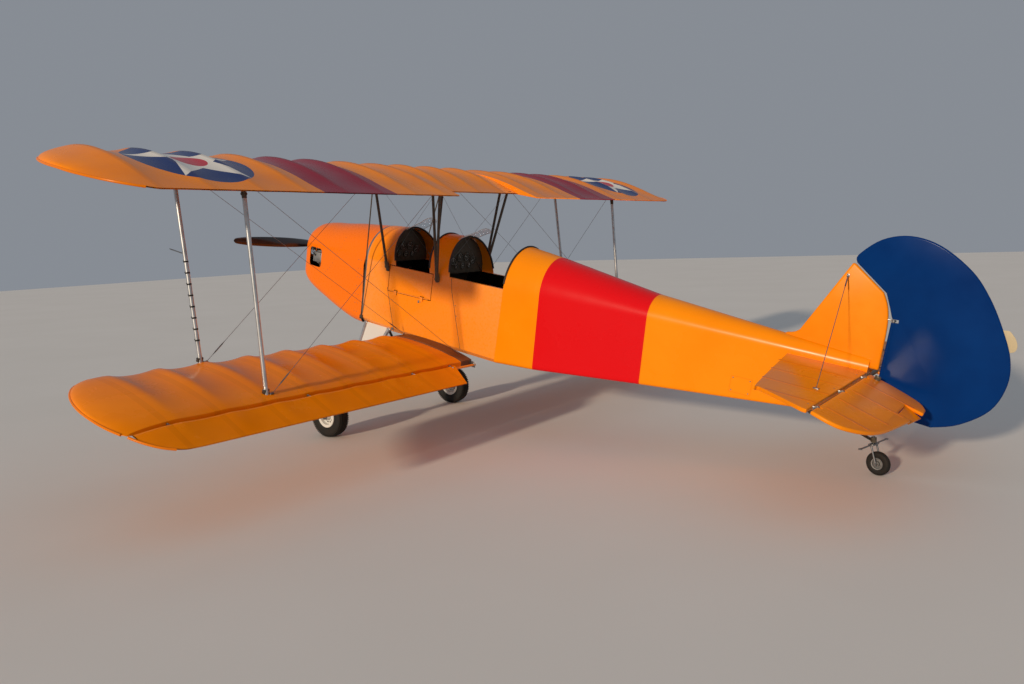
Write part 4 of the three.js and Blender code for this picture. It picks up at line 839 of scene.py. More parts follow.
def hull_point(row, around, inset=0.0):
    """A place on the hull's outline: the belly's middle at 0, up the port side, the top at 1, and round."""
    x, half, belly, longeron, top, corner = row
    side = 1 if around <= 1 else -1
    t = around if around <= 1 else 2 - around
    half, low = half - inset, belly + inset
    if t < 0.10:
        y, z = (half - corner) * t / 0.10, low
    elif t < 0.20:
        turn = (t - 0.10) / 0.10 * math.pi / 2
        y, z = half - corner + corner * math.sin(turn), low + corner - corner * math.cos(turn)
    elif t < SIDE_SHARE:
        y, z = half, low + corner + (longeron - low - corner) * (t - 0.20) / (SIDE_SHARE - 0.20)
    else:
        turn = (t - SIDE_SHARE) / (1 - SIDE_SHARE) * math.pi / 2
        y, z = half * math.cos(turn), longeron + (top - inset - longeron) * math.sin(turn)
    return Vector((x, side * y, z))


def deck_skin(name, front, rear, front_lean, rear_lean):
    """A curved sheet over the longerons. Its cockpit edges lean forward with height."""
    def place(across, along):
        x = front + (rear - front) * along
        lean = front_lean + (rear_lean - front_lean) * along
        row = straight_at(HULL, x)
        turn = math.pi * across
        tall = (row[4] - row[3]) * math.sin(turn)
        return Vector((x + lean * tall / (row[4] - row[3]), row[1] * math.cos(turn),
                       row[3] + DECK_GAP + tall))

    piece = skin(name, 56, 12, place, ends=False)
    return finish_with(piece, "SOLIDIFY", thickness=DECK_THICK, offset=-1)


def make_fuselage():
    rows = [2826 - k * (2826 - 212) / 48 for k in range(49)]
    rear = skin("rear_fuselage_skin", 144, 48, lambda across, along: hull_point(
        straight_at(HULL, rows[round(along * 48)]), 2 * across))
    fit(rear, BODY_CLOTH, "airframe", "orange_fabric", "rear_fuselage", angle=40)
    fit(deck_skin("front_deck_skin", 4256, 3930, 0, 100), ORANGE_SHEET, "airframe", "orange_metal",
        "front_deck")
    fit(deck_skin("mid_deck_skin", 3560, 3354, 70, 70), ORANGE_SHEET, "airframe", "orange_metal", "mid_deck")
    # The tub and the door take the sheet whose inward faces carry painted shade.
    for node, finish in {
        "front_fuselage": SHADED_INSIDE_SHEET, "access_door": SHADED_INSIDE_SHEET, "firewall": FIREPROOF,
        "panel_front": DARK_SHEET, "panel_rear": DARK_SHEET,
    }.items():
        frame["nodes"][node].data.materials.clear()
        frame["nodes"][node].data.materials.append(finish)


make_fuselage()


def strip_between(start, end, wide, thick=1.2):
    """A thin strip between two places that lies against the fuselage's side."""
    start, end = Vector(start), Vector(end)
    deselect()
    bpy.ops.mesh.primitive_cube_add(size=1)
    piece = bpy.context.object
    piece.scale = ((end - start).length, thick, wide)
    turn = (end - start).to_track_quat("X", "Z").to_matrix().to_4x4()
    return settle(piece, turn, Matrix.Translation((start + end) / 2))


def rivets(start, end, step, radius):
    """A row of domed rivet heads between two places, flat to the side."""
    start, end = Vector(start), Vector(end)
    count = max(2, round((end - start).length / step))
    deselect()
    bpy.ops.mesh.primitive_uv_sphere_add(segments=8, ring_count=5, radius=radius)
    head = bpy.context.object
    settle(head, Matrix.Diagonal((1, 0.5, 1, 1)))
    row = [copied(head, "rivet", Matrix.Translation(start.lerp(end, k / count))) for k in range(count + 1)]
    bpy.data.objects.remove(head)
    return joined("rivets", row)


def joint_place(name):
    """A joint's place in airframe millimetres."""
    return FLIGHT.inverted() @ Vector(JOINTS[name]["pos_m"]) * 1000


def side_place(x, z, off=0.0):
    """A place on the fuselage's port side."""
    return Vector((x, straight_at(HULL, x)[1] + off, z))


def make_side_details():
    """Joints between the side's sheets, the door's edge, and the small plates that are screwed to it."""
    lines = [((4000, 376), (3877, 17)), ((3313, 484), (3166, 51)), ((3313, 484), (3330, 588))]
    joints = [strip_between(side_place(*a, 0.1), side_place(*b, 0.1), 4, 1.0) for a, b in lines]
    fit(both(joints, "side_sheet_joints"), DARK_SHEET, "airframe", "steel")
    low, high = (1021, 282), (880, 392)
    panel = [strip_between(side_place(950, 337, 0.2), side_place(952, 337, 0.2), 2)]
    edges = ((low, (low[0], high[1])), ((low[0], high[1]), high), (high, (high[0], low[1])),
             ((high[0], low[1]), low))
    panel += [strip_between(side_place(*a, 0.2), side_place(*b, 0.2), 3, 1.4) for a, b in edges]
    fit(both(panel, "inspection_panel_edges"), TAPE_CLOTH, "airframe", "orange_metal")
    dots = []
    for x, z in ((1008, 294), (1008, 380), (893, 294), (893, 380), (3624, 330), (3240, 300), (3262, 380)):
        spot = side_place(x, z)
        dots.append(tube(spot, spot + Vector((0, 2, 0)), 4, 10))
    dots += [box(side_place(3650, 318), side_place(3636, 340, 5), 1.5),
             box(side_place(3906, 30), side_place(3890, 52, 5), 1.5)]
    fit(both(dots, "side_screws_and_tabs"), STEEL, "airframe", "steel")


# Cockpits

FLOOR_UP = 28
SEAT_HALF, PAD_HALF, SEAT_DEEP = 215, 203, 400
PAD_VOXEL, PAD_PRESSURE, PAD_MOMENTS, PAD_CAP = 0.006, 4, 20, 9


def floor_at(x):
    return straight_at(HULL, x)[2] + FLOOR_UP


def puffed(piece):
    """Stuffs a pad in millimetres: cloth under pressure swells it, and no point moves past the cap."""
    cap = PAD_CAP / 1000
    settle(piece, Matrix.Scale(0.001, 4))
    finish_with(piece, "REMESH", mode="VOXEL", voxel_size=PAD_VOXEL)
    pick(piece)
    rest = [vertex.co.copy() for vertex in piece.data.vertices]
    cloth = piece.modifiers.new("cloth", "CLOTH")
    cloth.settings.use_pressure = True
    cloth.settings.uniform_pressure_force = PAD_PRESSURE
    cloth.settings.effector_weights.gravity = 0
    for moment in range(1, PAD_MOMENTS + 1):
        bpy.context.scene.frame_set(moment)
    bpy.ops.object.modifier_apply(modifier=cloth.name)
    bpy.context.scene.frame_set(1)
    for vertex, start in zip(piece.data.vertices, rest):
        move = vertex.co - start
        if move.length > cap:
            vertex.co = start + move.normalized() * cap
    finish_with(piece, "SUBSURF", levels=1, render_levels=1)
    return settle(piece, Matrix.Scale(1000, 4))


def sewn_pad(name, low, high, *moves):
    """A stuffed leathercloth pad, swelled by cloth under pressure."""
    pad = puffed(box(low, high, 14, 3))
    fit(settle(pad, *moves), HIDE, "airframe", "trim")
    pad.name = pad.data.name = name


def make_seat(place, x):
    """A shell on four legs, two pads, a lap belt and two shoulder belts."""
    z = floor_at(x)
    lean = (Matrix.Translation((x, 0, z + 160)) @ Matrix.Rotation(-math.atan2(70, 420), 4, "Y"))
    shell = [box((x, -SEAT_HALF, z + 150), (x + SEAT_DEEP, SEAT_HALF, z + 158), 3),
             box((x + 392, -SEAT_HALF, z + 140), (x + SEAT_DEEP, SEAT_HALF, z + 158), 2)]
    for side in (1, -1):
        shell += [box((x, side * 211 - 2, z + 150), (x + 380, side * 211 + 2, z + 186), 1.5),
                  tube((x + 40, side * 180, z + 2), (x + 40, side * 180, z + 150), 9),
                  tube((x + 360, side * 180, z + 2), (x + 360, side * 180, z + 150), 9)]
    back = settle(box((0, -SEAT_HALF, 0), (8, SEAT_HALF, 415), 3), lean)
    fit(joined(f"seat_shell_{place}", [*shell, back]), DARK_SHEET, "airframe", "trim", f"seat_{place}")
    sewn_pad(f"seat_cushion_{place}", (x + 14, -PAD_HALF, z + 160), (x + 388, PAD_HALF, z + 190))
    sewn_pad(f"back_cushion_{place}", (12, -PAD_HALF, 42), (40, PAD_HALF, 405), lean)
    straps = []
    for side in (1, -1):
        def lap(across, along, side=side):
            bulge = 10 * math.sin(math.pi * along) + 6
            return Vector((x + 110 + 44 * across + 30 * along, side * (205 - 190 * along), z + 194 + bulge))

        def shoulder(across, along, side=side):
            return lean @ Vector((50 + 5 * math.sin(math.pi * along), side * (60 + 22 - 44 * across),
                                  380 - 330 * along))

        for route in (lap, shoulder):
            straps.append(finish_with(skin("strap", 4, 20, route, ends=False), "SOLIDIFY", thickness=1.6))
    fit(joined(f"seat_belts_{place}", straps), WEBBING, "airframe", "trim")
    buckle = box((x + 130, -30, z + 204), (x + 186, 30, z + 212), 3)
    fit(joined(f"belt_buckle_{place}", [buckle]), STEEL, "airframe", "steel")


def make_stick(place, x):
    """A cranked control stick with a ribbed rubber grip."""
    z = floor_at(x)
    foot, bend, top = Vector((x, 0, z)), Vector((x - 20, 0, z + 400)), Vector((x - 28, 0, z + 500))
    rod = [tube(foot, foot + Vector((0, 0, 8)), 26, 24), tube(foot, foot + Vector((0, 0, 40)), 18, 24, 14),
           tube(foot + Vector((0, 0, 30)), bend, 10, 20)]
    fit(joined(f"stick_rod_{place}", rod), BLACK_TUBE, "airframe", "black_tube", f"stick_{place}")
    ribs = [(10, 0)]
    for k in range(9):
        ribs += [(15, 4 + k * 10), (17, 7 + k * 10), (15, 11 + k * 10)]
    grip = turned([*ribs, (13, 100), (6, 103), (6, 1)], bend, top - bend, 28)
    fit(joined(f"stick_grip_{place}", [grip]), GRIP, "airframe", "trim")


SCREEN_HALF, SCREEN_TALL = 112, 0.86
# Places to port and up from the panel's foot, and the radius of each dial
DIALS = ((-128, 62, 36), (-44, 92, 38), (44, 92, 38), (128, 62, 36), (-84, 20, 24), (0, 22, 28),
         (84, 20, 24))


def make_panel(place, x):
    """Round dials with ticks and a needle, screwed to the panel's aft face."""
    base = straight_at(HULL, x)[3] + 42
    rims, faces, marks = [], [], []
    for k, (y, up, radius) in enumerate(DIALS):
        spot = Vector((x - 0.4, y, base + up))
        rims.append(turned([(radius - 4, 0), (radius, 0), (radius, 7), (radius - 3, 9), (radius - 5, 7)],
                           spot, (-1, 0, 0), 40))
        faces.append(tube(spot, spot + Vector((-3, 0, 0)), radius - 3, 40))
        for tick in range(12):
            turn = math.tau * tick / 12
            mark = box((-4.2, -0.8, radius - 12), (-3.0, 0.8, radius - 6))
            marks.append(settle(mark, Matrix.Rotation(turn, 4, "X"), Matrix.Translation(spot)))
        needle = box((-5.4, -1.2, -6), (-4.2, 1.2, radius - 13))
        marks.append(settle(needle, Matrix.Rotation(0.7 * k - 2, 4, "X"), Matrix.Translation(spot)))
        for turn in (0.785, 2.356, 3.927, 5.498):
            way = Vector((0, math.cos(turn), math.sin(turn))) * (radius + 4)
            rims.append(tube(spot + way, spot + way + Vector((-3, 0, 0)), 2.6, 8))
    fit(joined(f"dial_rims_{place}", rims), BLACK_TUBE, "airframe", "trim")
    fit(joined(f"dial_faces_{place}", faces), DIAL, "airframe", "trim")
    fit(joined(f"dial_marks_{place}", marks), WHITE_SHEET, "airframe", "trim")


def make_controls(place, x):
    """A throttle lever on the port wall and two rudder pedals on their bar."""
    z = floor_at(x)
    lever = [box((x - 40, 252, z + 330), (x + 40, 264, z + 380), 3),
             tube((x, 250, z + 360), (x + 20, 246, z + 430), 4, 12)]
    pedals = [tube((x + 390, -190, z + 60), (x + 390, 190, z + 60), 9)]
    for side in (1, -1):
        pedals += [tube((x + 390, side * 120, z + 60), (x + 400, side * 120, z + 150), 8),
                   box((x + 392, side * 120 - 45, z + 140), (x + 406, side * 120 + 45, z + 176), 4)]
    fit(joined(f"throttle_and_pedals_{place}", [*lever, *pedals]), BLACK_TUBE, "airframe", "black_tube")
    fit(joined(f"throttle_knob_{place}", [ball((x + 21, 246, z + 436), 13)]), GRIP, "airframe", "trim")


def coaming(x, lean):
    """A leathercloth roll over the edge of a deck."""
    row = straight_at(HULL, x)
    places = []
    for step in range(13):
        turn = math.pi * (0.04 + 0.92 * step / 12)
        up = math.sin(turn)
        places.append((x + lean * up, row[1] * math.cos(turn), row[3] + (row[4] - row[3]) * up + 2))
    return rope(places, 8, 12)


def make_screen(place, front, low, rear, high):
    """A blown windscreen with its edge strip and its feet on the deck."""
    def sheet(across, along):
        y = (2 * across - 1) * SCREEN_HALF * (1 - 0.12 * along)
        foot = Vector((front - 0.0010 * y * y, y, low - 0.0021 * y * y + 3))
        head = Vector((rear - 0.0012 * y * y, y, high - 0.0024 * y * y))
        return foot.lerp(head, along * SCREEN_TALL * (1 - 0.12 * abs(2 * across - 1) ** 3))

    glass = finish_with(skin("screen", 24, 10, sheet, ends=False), "SOLIDIFY", thickness=2.5)
    fit(joined(f"screen_sheet_{place}", [glass]), SCREEN, "airframe", "screen", f"windscreen_{place}")
    around = [sheet(0, k / 5) for k in range(6)] + [sheet(k / 12, 1) for k in range(1, 12)]
    around += [sheet(1, 1 - k / 5) for k in range(6)]
    fit(joined(f"screen_edge_{place}", [rope(around, 2.2, 8)]), WHITE_SHEET, "airframe", "trim")
    feet = []
    for across in (0.06, 0.35, 0.65, 0.94):
        spot = sheet(across, 0.03)
        feet += [box(spot + Vector((-9, -8, -6)), spot + Vector((9, 8, 2)), 1.5),
                 bolt(spot + Vector((4, 0, 2)), (0, 0, 1), 7, 4)]
    fit(joined(f"screen_feet_{place}", feet), STEEL, "airframe", "steel")


def make_cockpits():
    for place, seat_x, stick_x, panel_x in (("front", 3620, 4060, 4100), ("rear", 2920, 3400, 3470)):
        make_seat(place, seat_x)
        make_stick(place, stick_x)
        make_panel(place, panel_x)
        make_controls(place, seat_x + 160)
    make_screen("front", 4080, 850, 3823, 1000)
    make_screen("rear", 3498, 880, 3241, 1006)
    rolls = [coaming(x, lean) for x, lean in ((3930, 100), (3560, 70), (3354, 70), (2828, 0))]
    fit(joined("coaming_rolls", rolls), HIDE, "airframe", "trim")


make_side_details()
make_cockpits()


# Cowl, engine and propeller

# X, half width, belly, shoulder and top heights, and the belly's corner cut
COWL = [
    (4275, 293, -1, 561, 844, 60), (4420, 291, 2, 560, 826, 84), (4620, 283, 52, 554, 804, 88),
    (4800, 270, 108, 545, 776, 90), (4920, 261, 149, 540, 763, 86), (5010, 250, 188, 535, 748, 80),
    (5066, 236, 228, 530, 732, 70), (5098, 216, 266, 525, 710, 60), (5120, 186, 318, 521, 680, 50),
]
GAP_WIDE = 31
CYLINDER = (4913, 456)


def cowl_row(share):
    """The cowl's measures at a share of its length, on smooth curves."""
    rising = [(k, *row) for k, row in enumerate(COWL)]
    return [smooth_at(rising, share * (len(COWL) - 1), column) for column in range(1, 7)]


def cowl_shell(name, inset, front, rear):
    def place(across, along):
        row = cowl_row(along)
        spot = hull_point(row, 2 * across, inset)
        level = min(max((spot.z - 60) / 560, 0), 1)
        gap = GAP_WIDE * math.sin(math.pi * level) ** 0.7 * max(0, 1 - along * 6)
        if along > 0.97:
            spot.x += front
        return spot + Vector((gap + (rear if along == 0 else 0), 0, 0))

    return skin(name, 144, 48, place)


def carve(piece, tool):
    """Cuts one piece with another and removes the tool."""
    modifier = piece.modifiers.new("carve", "BOOLEAN")
    modifier.object, modifier.operation, modifier.solver = tool, "DIFFERENCE", "EXACT"
    pick(piece)
    bpy.ops.object.modifier_apply(modifier=modifier.name)
    bpy.data.objects.remove(tool)
    return piece


def make_cowl():
    shell = carve(cowl_shell("cowl_skin", 0, 0, 0), cowl_shell("hollow", 5, -6, -20))
    carve(shell, box((4848, -400, 372), (5012, 400, 540), 26, 4))
    carve(shell, tube((5040, 0, AXIS_Z), (5200, 0, AXIS_Z), 74, 40))
    for side in (-1, 1):
        carve(shell, box((5040, side * 116 - 30, 440), (5200, side * 116 + 30, 556), 16, 4))
    fit(shell, COWL_SHEET, "airframe", "orange_metal", "cowl", angle=30)
    lip = joined("cowl_intake_ring", [
        turned([(74, -2), (80, -4), (84, 0), (84, 5), (80, 9), (74, 7), (71, 3)], (5117, 0, AXIS_Z),
               (1, 0, 0), 48)])
    fit(lip, COWL_SHEET, "airframe", "orange_metal")
    strips = []
    for side in (1, -1):
        line = [(4542, side * 287.5, 700), (4707, side * 279, 416)]
        fall = [(4720, side * 279, 400), (4880, side * 263.5, 250)]
        for a, b in (line, fall):
            strips.append(rivets(a, b, 38, 2.4))
    for x in (4300, 4330):
        for side in (1, -1):
            strips.append(rivets((x + 30, side * 292.6, 90), (x + 30, side * 292.6, 540), 75, 3.4))
    fit(joined("cowl_fasteners", strips), STEEL, "airframe", "steel")
    drain = both([box((4330, 92, -22), (4372, 98, 4), 2), tube((4351, 90, -12), (4351, 100, -12), 5, 12)],
                 "cowl_drain_tab")
    fit(drain, STEEL, "airframe", "steel")
    rim = skin("firewall_flange", 144, 1, lambda across, along: hull_point(
        (4271.6 + 4 * along, 293.5, 1.5, 562, 844.5, 60), 2 * across), ends=False)
    fit(finish_with(rim, "SOLIDIFY", thickness=2.5, offset=-1), FIREPROOF, "airframe", "steel")


def cylinder_bank(side):
    """One finned cylinder with its head and rocker cover, held by four bolts."""
    x, z = CYLINDER
    parts = [tube((x, side * 148, z), (x, side * 240, z), 44, 32)]
    for fin in range(11):
        y = side * (154 + fin * 7.4)
        parts.append(tube((x, y - 1.2, z), (x, y + 1.2, z), 60, 36))
    parts.append(box((x - 56, min(side * 228, side * 256), z - 46),
                     (x + 56, max(side * 228, side * 256), z + 46), 10, 3))
    for dx in (-38, 38):
        for dz in (-30, 30):
            parts.append(bolt((x + dx, side * 256, z + dz), (0, side, 0), 9, 5))
    return parts


def make_engine():
    case = [
        box((4640, -150, 335), (4990, 150, 605), 26, 4), box((4700, -118, 600), (4900, 118, 640), 14, 3),
        box((4650, -90, 300), (4850, 90, 345), 16, 3),
        tube((4980, 0, AXIS_Z), (5050, 0, AXIS_Z), 96, 48),
        tube((5045, 0, AXIS_Z), (5072, 0, AXIS_Z), 66, 40), *cylinder_bank(1), *cylinder_bank(-1),
    ]
    for y, z in ring(8, 82):
        case.append(bolt((5050, y, AXIS_Z + z), (1, 0, 0), 10, 6))
    fit(joined("engine_castings", case), CAST_ALLOY, "airframe", "engine_alloy", "engine")
    pipes = []
    for side in (1, -1):
        pipes.append(rope([(4900, side * 226, 412), (4880, side * 214, 360), (4800, side * 190, 320),
                           (4700, side * 170, 300)], 17, 12))
        pipes.append(rope([(4960, side * 205, 512), (4950, side * 150, 620), (4860, side * 60, 650)],
                          14, 12))
    pipes.append(tube((4700, -172, 300), (4700, 172, 300), 26, 24))
    fit(joined("engine_pipes", pipes), BURNT_STEEL, "airframe", "engine_alloy")
    bearers = both([
        tube((4273, 220, 220), (4680, 130, 350), 12), tube((4273, 220, 640), (4680, 130, 590), 12),
        tube((4273, 220, 640), (4680, 130, 350), 9),
    ], "engine_bearers")
    fit(bearers, BLACK_TUBE, "airframe", "engine_alloy")
    leads = both([rope([(4935, 258, 470), (4960, 270, 500), (4930, 235, 560), (4860, 120, 615)], 4, 8),
                  tube((4925, 236, 468), (4938, 262, 472), 7, 10)], "ignition_leads")
    fit(leads, RUBBER, "airframe", "engine_alloy")
    shaft = joined("propeller_shaft", [tube((5070, 0, AXIS_Z), (5242, 0, AXIS_Z), 19.5, 32)])
    fit(shaft, STEEL, "airframe", "steel")


# Radius, chord, thickness and blade angle in degrees
BLADE = [
    (30, 64, 52, 60), (90, 76, 44, 52), (150, 84, 34, 46), (330, 92, 24, 33), (560, 88, 17, 23),
    (780, 72, 12, 17), (880, 54, 8.5, 15), (920, 38, 6, 14), (934.5, 10, 3, 14),
]
PROP_PLACE = (PROP_X, 0, AXIS_Z)
PROP_TURN = -3


def blade_point(across, along):
    radius = BLADE[0][0] + (BLADE[-1][0] - BLADE[0][0]) * (1 - (1 - along) ** 1.6)
    chord, thick, angle = (smooth_at(BLADE, radius, column) for column in (1, 2, 3))
    turn = math.tau * across
    fore = math.sin(turn) * thick / 2 * (1 if math.sin(turn) > 0 else 0.55)
    wide = math.cos(turn) * chord / 2
    lean = math.radians(angle)
    return Vector((fore * math.cos(lean) + wide * math.sin(lean), radius,
                   wide * math.cos(lean) - fore * math.sin(lean)))


def make_propeller():
    stand = Matrix.Translation(PROP_PLACE) @ Matrix.Rotation(-math.radians(PROP_TURN), 4, "X")
    blade = skin("blade", 40, 60, blade_point)
    other = copied(blade, "other_blade", Matrix.Rotation(math.pi, 4, "X"))
    boss = turned([(20.5, -34), (66, -34), (72, -28), (72, 28), (66, 34), (20.5, 34)],
                  (0, 0, 0), (1, 0, 0), 64)
    wood = joined("propeller_blades", [blade, other, boss])
    fit(settle(wood, stand), PROP_WOOD, "propeller_body", "propeller_wood", "propeller")
    plate = [turned([(20.5, 34), (52, 34), (52, 40), (48, 42), (34, 43), (34, 54.6), (20.5, 54.6)],
                    (0, 0, 0), (1, 0, 0), 48)]
    for y, z in ring(6, 43):
        plate.append(bolt((41, y, z), (1, 0, 0), 12, 9))
    fit(settle(joined("propeller_hub_plate", plate), stand), STEEL, "propeller_body", "steel")
    sheath = skin("sheath", 12, 30, lambda across, along: blade_point(
        (across - 0.5) * 0.22, 0.62 + along * 0.36), ends=False)
    sheath = finish_with(sheath, "SOLIDIFY", thickness=0.8, offset=1)
    both_sheaths = joined("propeller_edge_sheaths",
                          [sheath, copied(sheath, "other", Matrix.Rotation(math.pi, 4, "X"))])
    fit(settle(both_sheaths, stand), STEEL, "propeller_body", "steel")


make_cowl()
make_engine()
make_propeller()


# Struts and wires

BAY_Y = 2265
BAY_FOOT_Y = 2245
TURNBUCKLE_LONG = 130
CABANE_FOOT_Y, CABANE_HEAD_Y = 308.3, 445
FRONT_FOOT, FRONT_HEAD = Vector((3752, BAY_FOOT_Y, 41)), Vector((4138, BAY_Y, 1288))
REAR_FOOT, REAR_HEAD = Vector((3095, BAY_FOOT_Y, 11)), Vector((3425, BAY_Y, 1272))


def fork_end(place, toward, across):
    """A strut's forked end plate with its cross bolt."""
    place, way = Vector(place), (Vector(toward) - Vector(place)).normalized()
    cheek = tube(place - Vector(across) * 17, place + Vector(across) * 17, 5.5, 12)
    head = bolt(place + Vector(across) * 17, across, 13, 6)
    plates = [tube(place + Vector(across) * side * 12 + way * -14,
                   place + Vector(across) * side * 12 + way * 46, 9, 8)
              for side in (1, -1)]
    return [cheek, head, *plates]


def turnbuckle(start, end):
    """A barrel between two eyes near a wire's end."""
    start, end = Vector(start), Vector(end)
    way = (end - start).normalized() * TURNBUCKLE_LONG
    middle = start.lerp(end, 0.06)
    barrel = tube(middle - way * 0.3, middle + way * 0.3, 4.5, 12)
    ends = [tube(middle + way * sign * 0.3, middle + way * sign * 0.5, 3.6, 10, 1.8) for sign in (1, -1)]
    eye = turned([(4, -2), (8, -2), (8, 2), (4, 2)], start, (1, 0, 0), 16)
    return [barrel, *ends, eye]


def wire(start, end, radius=1.5):
    return [tube(start, end, radius, 10), *turnbuckle(start, end)]


def make_struts():
    fit_pair(tube(FRONT_FOOT, FRONT_HEAD, 14, 32), "front_strut_tube", SILVER_TUBE, "airframe",
             "silver_tube", "front_strut")
    fit_pair(tube(REAR_FOOT, REAR_HEAD, 14, 32), "rear_strut_tube", SILVER_TUBE, "airframe", "silver_tube",
             "rear_strut")
    sockets = []
    for foot, head in ((FRONT_FOOT, FRONT_HEAD), (REAR_FOOT, REAR_HEAD)):
        sockets.append(tube(on_line(foot, head, 0.93), on_line(foot, head, 0.975), 15, 24, 17))
        spot = on_line(foot, head, 0.95)
        sockets += [bolt(spot + Vector((0, 16, 0)), (0, 1, 0), 11, 6),
                    bolt(spot - Vector((0, 16, 0)), (0, -1, 0), 11, 6)]
    feet = []
    for foot, head, share in ((FRONT_FOOT, FRONT_HEAD, 0.036), (REAR_FOOT, REAR_HEAD, 0.69)):
        low = wing_point(LOWER, BAY_FOOT_Y, share, True)
        spot = foot + (head - foot) * ((low.z + 26 - foot.z) / (head.z - foot.z))
        sockets.append(box((spot.x - 13, spot.y - 19, low.z - 2), (spot.x + 13, spot.y + 19, spot.z), 3))
        feet += [bolt(spot + Vector((0, 19, -6)), (0, 1, 0), 10, 6),
                 bolt(spot - Vector((0, 19, 6)), (0, -1, 0), 10, 6),
                 bolt((spot.x + 30, spot.y, low.z - 1), (0, 0, 1), 8, 4)]
    fit(both(sockets, "strut_end_brackets"), BLACK_TUBE, "airframe", "black_tube")
    fit(both(feet, "strut_foot_bolts"), STEEL, "airframe", "steel")
    bands = []
    for k in range(8):
        spot = on_line(FRONT_FOOT, FRONT_HEAD, 0.13 + 0.056 * k)
        way = (FRONT_HEAD - FRONT_FOOT).normalized()
        bands.append(tube(spot - way * 5, spot + way * 5, 15.6, 24))
        bands.append(box(spot + Vector((12, -5, -5)), spot + Vector((27, 5, 5)), 2))
    fit(joined("pitot_tie_bands", bands), RUBBER, "airframe", "trim")
    offset = Vector((19.1, 0, 0))
    low = on_line(FRONT_FOOT, FRONT_HEAD, 0.10) + offset
    bend = on_line(FRONT_FOOT, FRONT_HEAD, 0.56) + offset
    pitot = joined("pitot_line", [
        tube(low, bend, 4, 12), ball(bend, 4.3), tube(bend, bend + Vector((132, 0, 3)), 4, 12),
        tube(bend + Vector((132, 0, 3)), bend + Vector((149, 0, 3.4)), 4, 12, 2)])
    fit(pitot, STEEL, "airframe", "steel", "pitot_tube")


def make_cabanes():
    front = [
        tube((4010, CABANE_FOOT_Y, 534), (4134, CABANE_HEAD_Y, 1286), 11, 24),
        tube((4262, 303, 60), (4134, 441, 1284), 5, 16),
        box((3994, 295.4, 512), (4026, 306, 556), 2), box((4246, 295.4, 42), (4278, 306, 76), 2),
        *fork_end((4013, CABANE_FOOT_Y, 548), (4134, CABANE_HEAD_Y, 1286), (1, 0, 0)),
    ]
    fit_pair(joined("front_cabane", front), "front_cabane_struts", BLACK_TUBE, "airframe", "black_tube",
             "front_cabane")
    rear = [
        tube((3466, CABANE_FOOT_Y, 530), (3425, CABANE_HEAD_Y, 1276), 11, 24),
        tube((3466, CABANE_FOOT_Y, 530), (3500, CABANE_HEAD_Y, 1276), 11, 24),
        box((3450, 295.4, 530), (3482, 306, 574), 2),
        *fork_end((3466, CABANE_FOOT_Y, 552), (3462, CABANE_HEAD_Y, 1276), (1, 0, 0)),
    ]
    fit_pair(joined("rear_cabane", rear), "rear_cabane_struts", BLACK_TUBE, "airframe", "black_tube",
             "rear_cabane")
    heads = []
    for x, z in ((4132, 1253), (3426, 1272), (3500, 1270)):
        heads.append(box((x - 26, 428, z - 12), (x + 26, 462, z + 6), 3))
        heads.append(bolt((x - 16, CABANE_HEAD_Y, z - 12), (0, 0, -1), 9, 5))
        heads.append(bolt((x + 16, CABANE_HEAD_Y, z - 12), (0, 0, -1), 9, 5))
    fit(both(heads, "cabane_head_plates"), BLACK_TUBE, "airframe", "black_tube")


def make_wires():
    off = Vector((0, -34, 0))
    rear_low, rear_high = Vector((3101, 300, -16)), Vector((3419, 479, 1280))
    fit_pair(joined("flying", wire(rear_low, REAR_HEAD + off + Vector((6, 0, 0)))), "flying_wire_rear",
             STEEL, "airframe", "steel", "flying_wire")
    fit_pair(joined("landing", wire(REAR_FOOT + off + Vector((-6, 0, 30)), rear_high)), "landing_wire_rear",
             STEEL, "airframe", "steel", "landing_wire")
    front_low, front_high = Vector((3760, 300, 30)), Vector((4128, 479, 1282))
    front = [*wire(front_low, FRONT_HEAD + off + Vector((8, 0, 0))),
             *wire(FRONT_FOOT + off + Vector((-8, 0, 30)), front_high)]
    fit(both(front, "front_bay_wires"), STEEL, "airframe", "steel")
    lugs = [box(foot + Vector((-14, -44, 26)), foot + Vector((2, -14, 34)), 2)
            for foot in (FRONT_FOOT, REAR_FOOT)]
    fit(both(lugs, "wire_lugs"), STEEL, "airframe", "steel")
    cabane = [*wire((3470, 306, 560), (3425, -440, 1262), 1), *wire((4012, 306, 560), (4130, -440, 1262), 1)]
    fit(both(cabane, "cabane_wires"), STEEL, "airframe", "steel")


make_struts()
make_cabanes()
make_wires()


# Wheels and landing gear

def groove(radius, middle, wide=4.0, deep=3.2):
    """The lip and floor of one tread groove, from port to starboard of its middle."""
    return [(radius, middle + wide), (radius - deep, middle + wide * 0.6),
            (radius - deep, middle - wide * 0.6), (radius, middle - wide)]


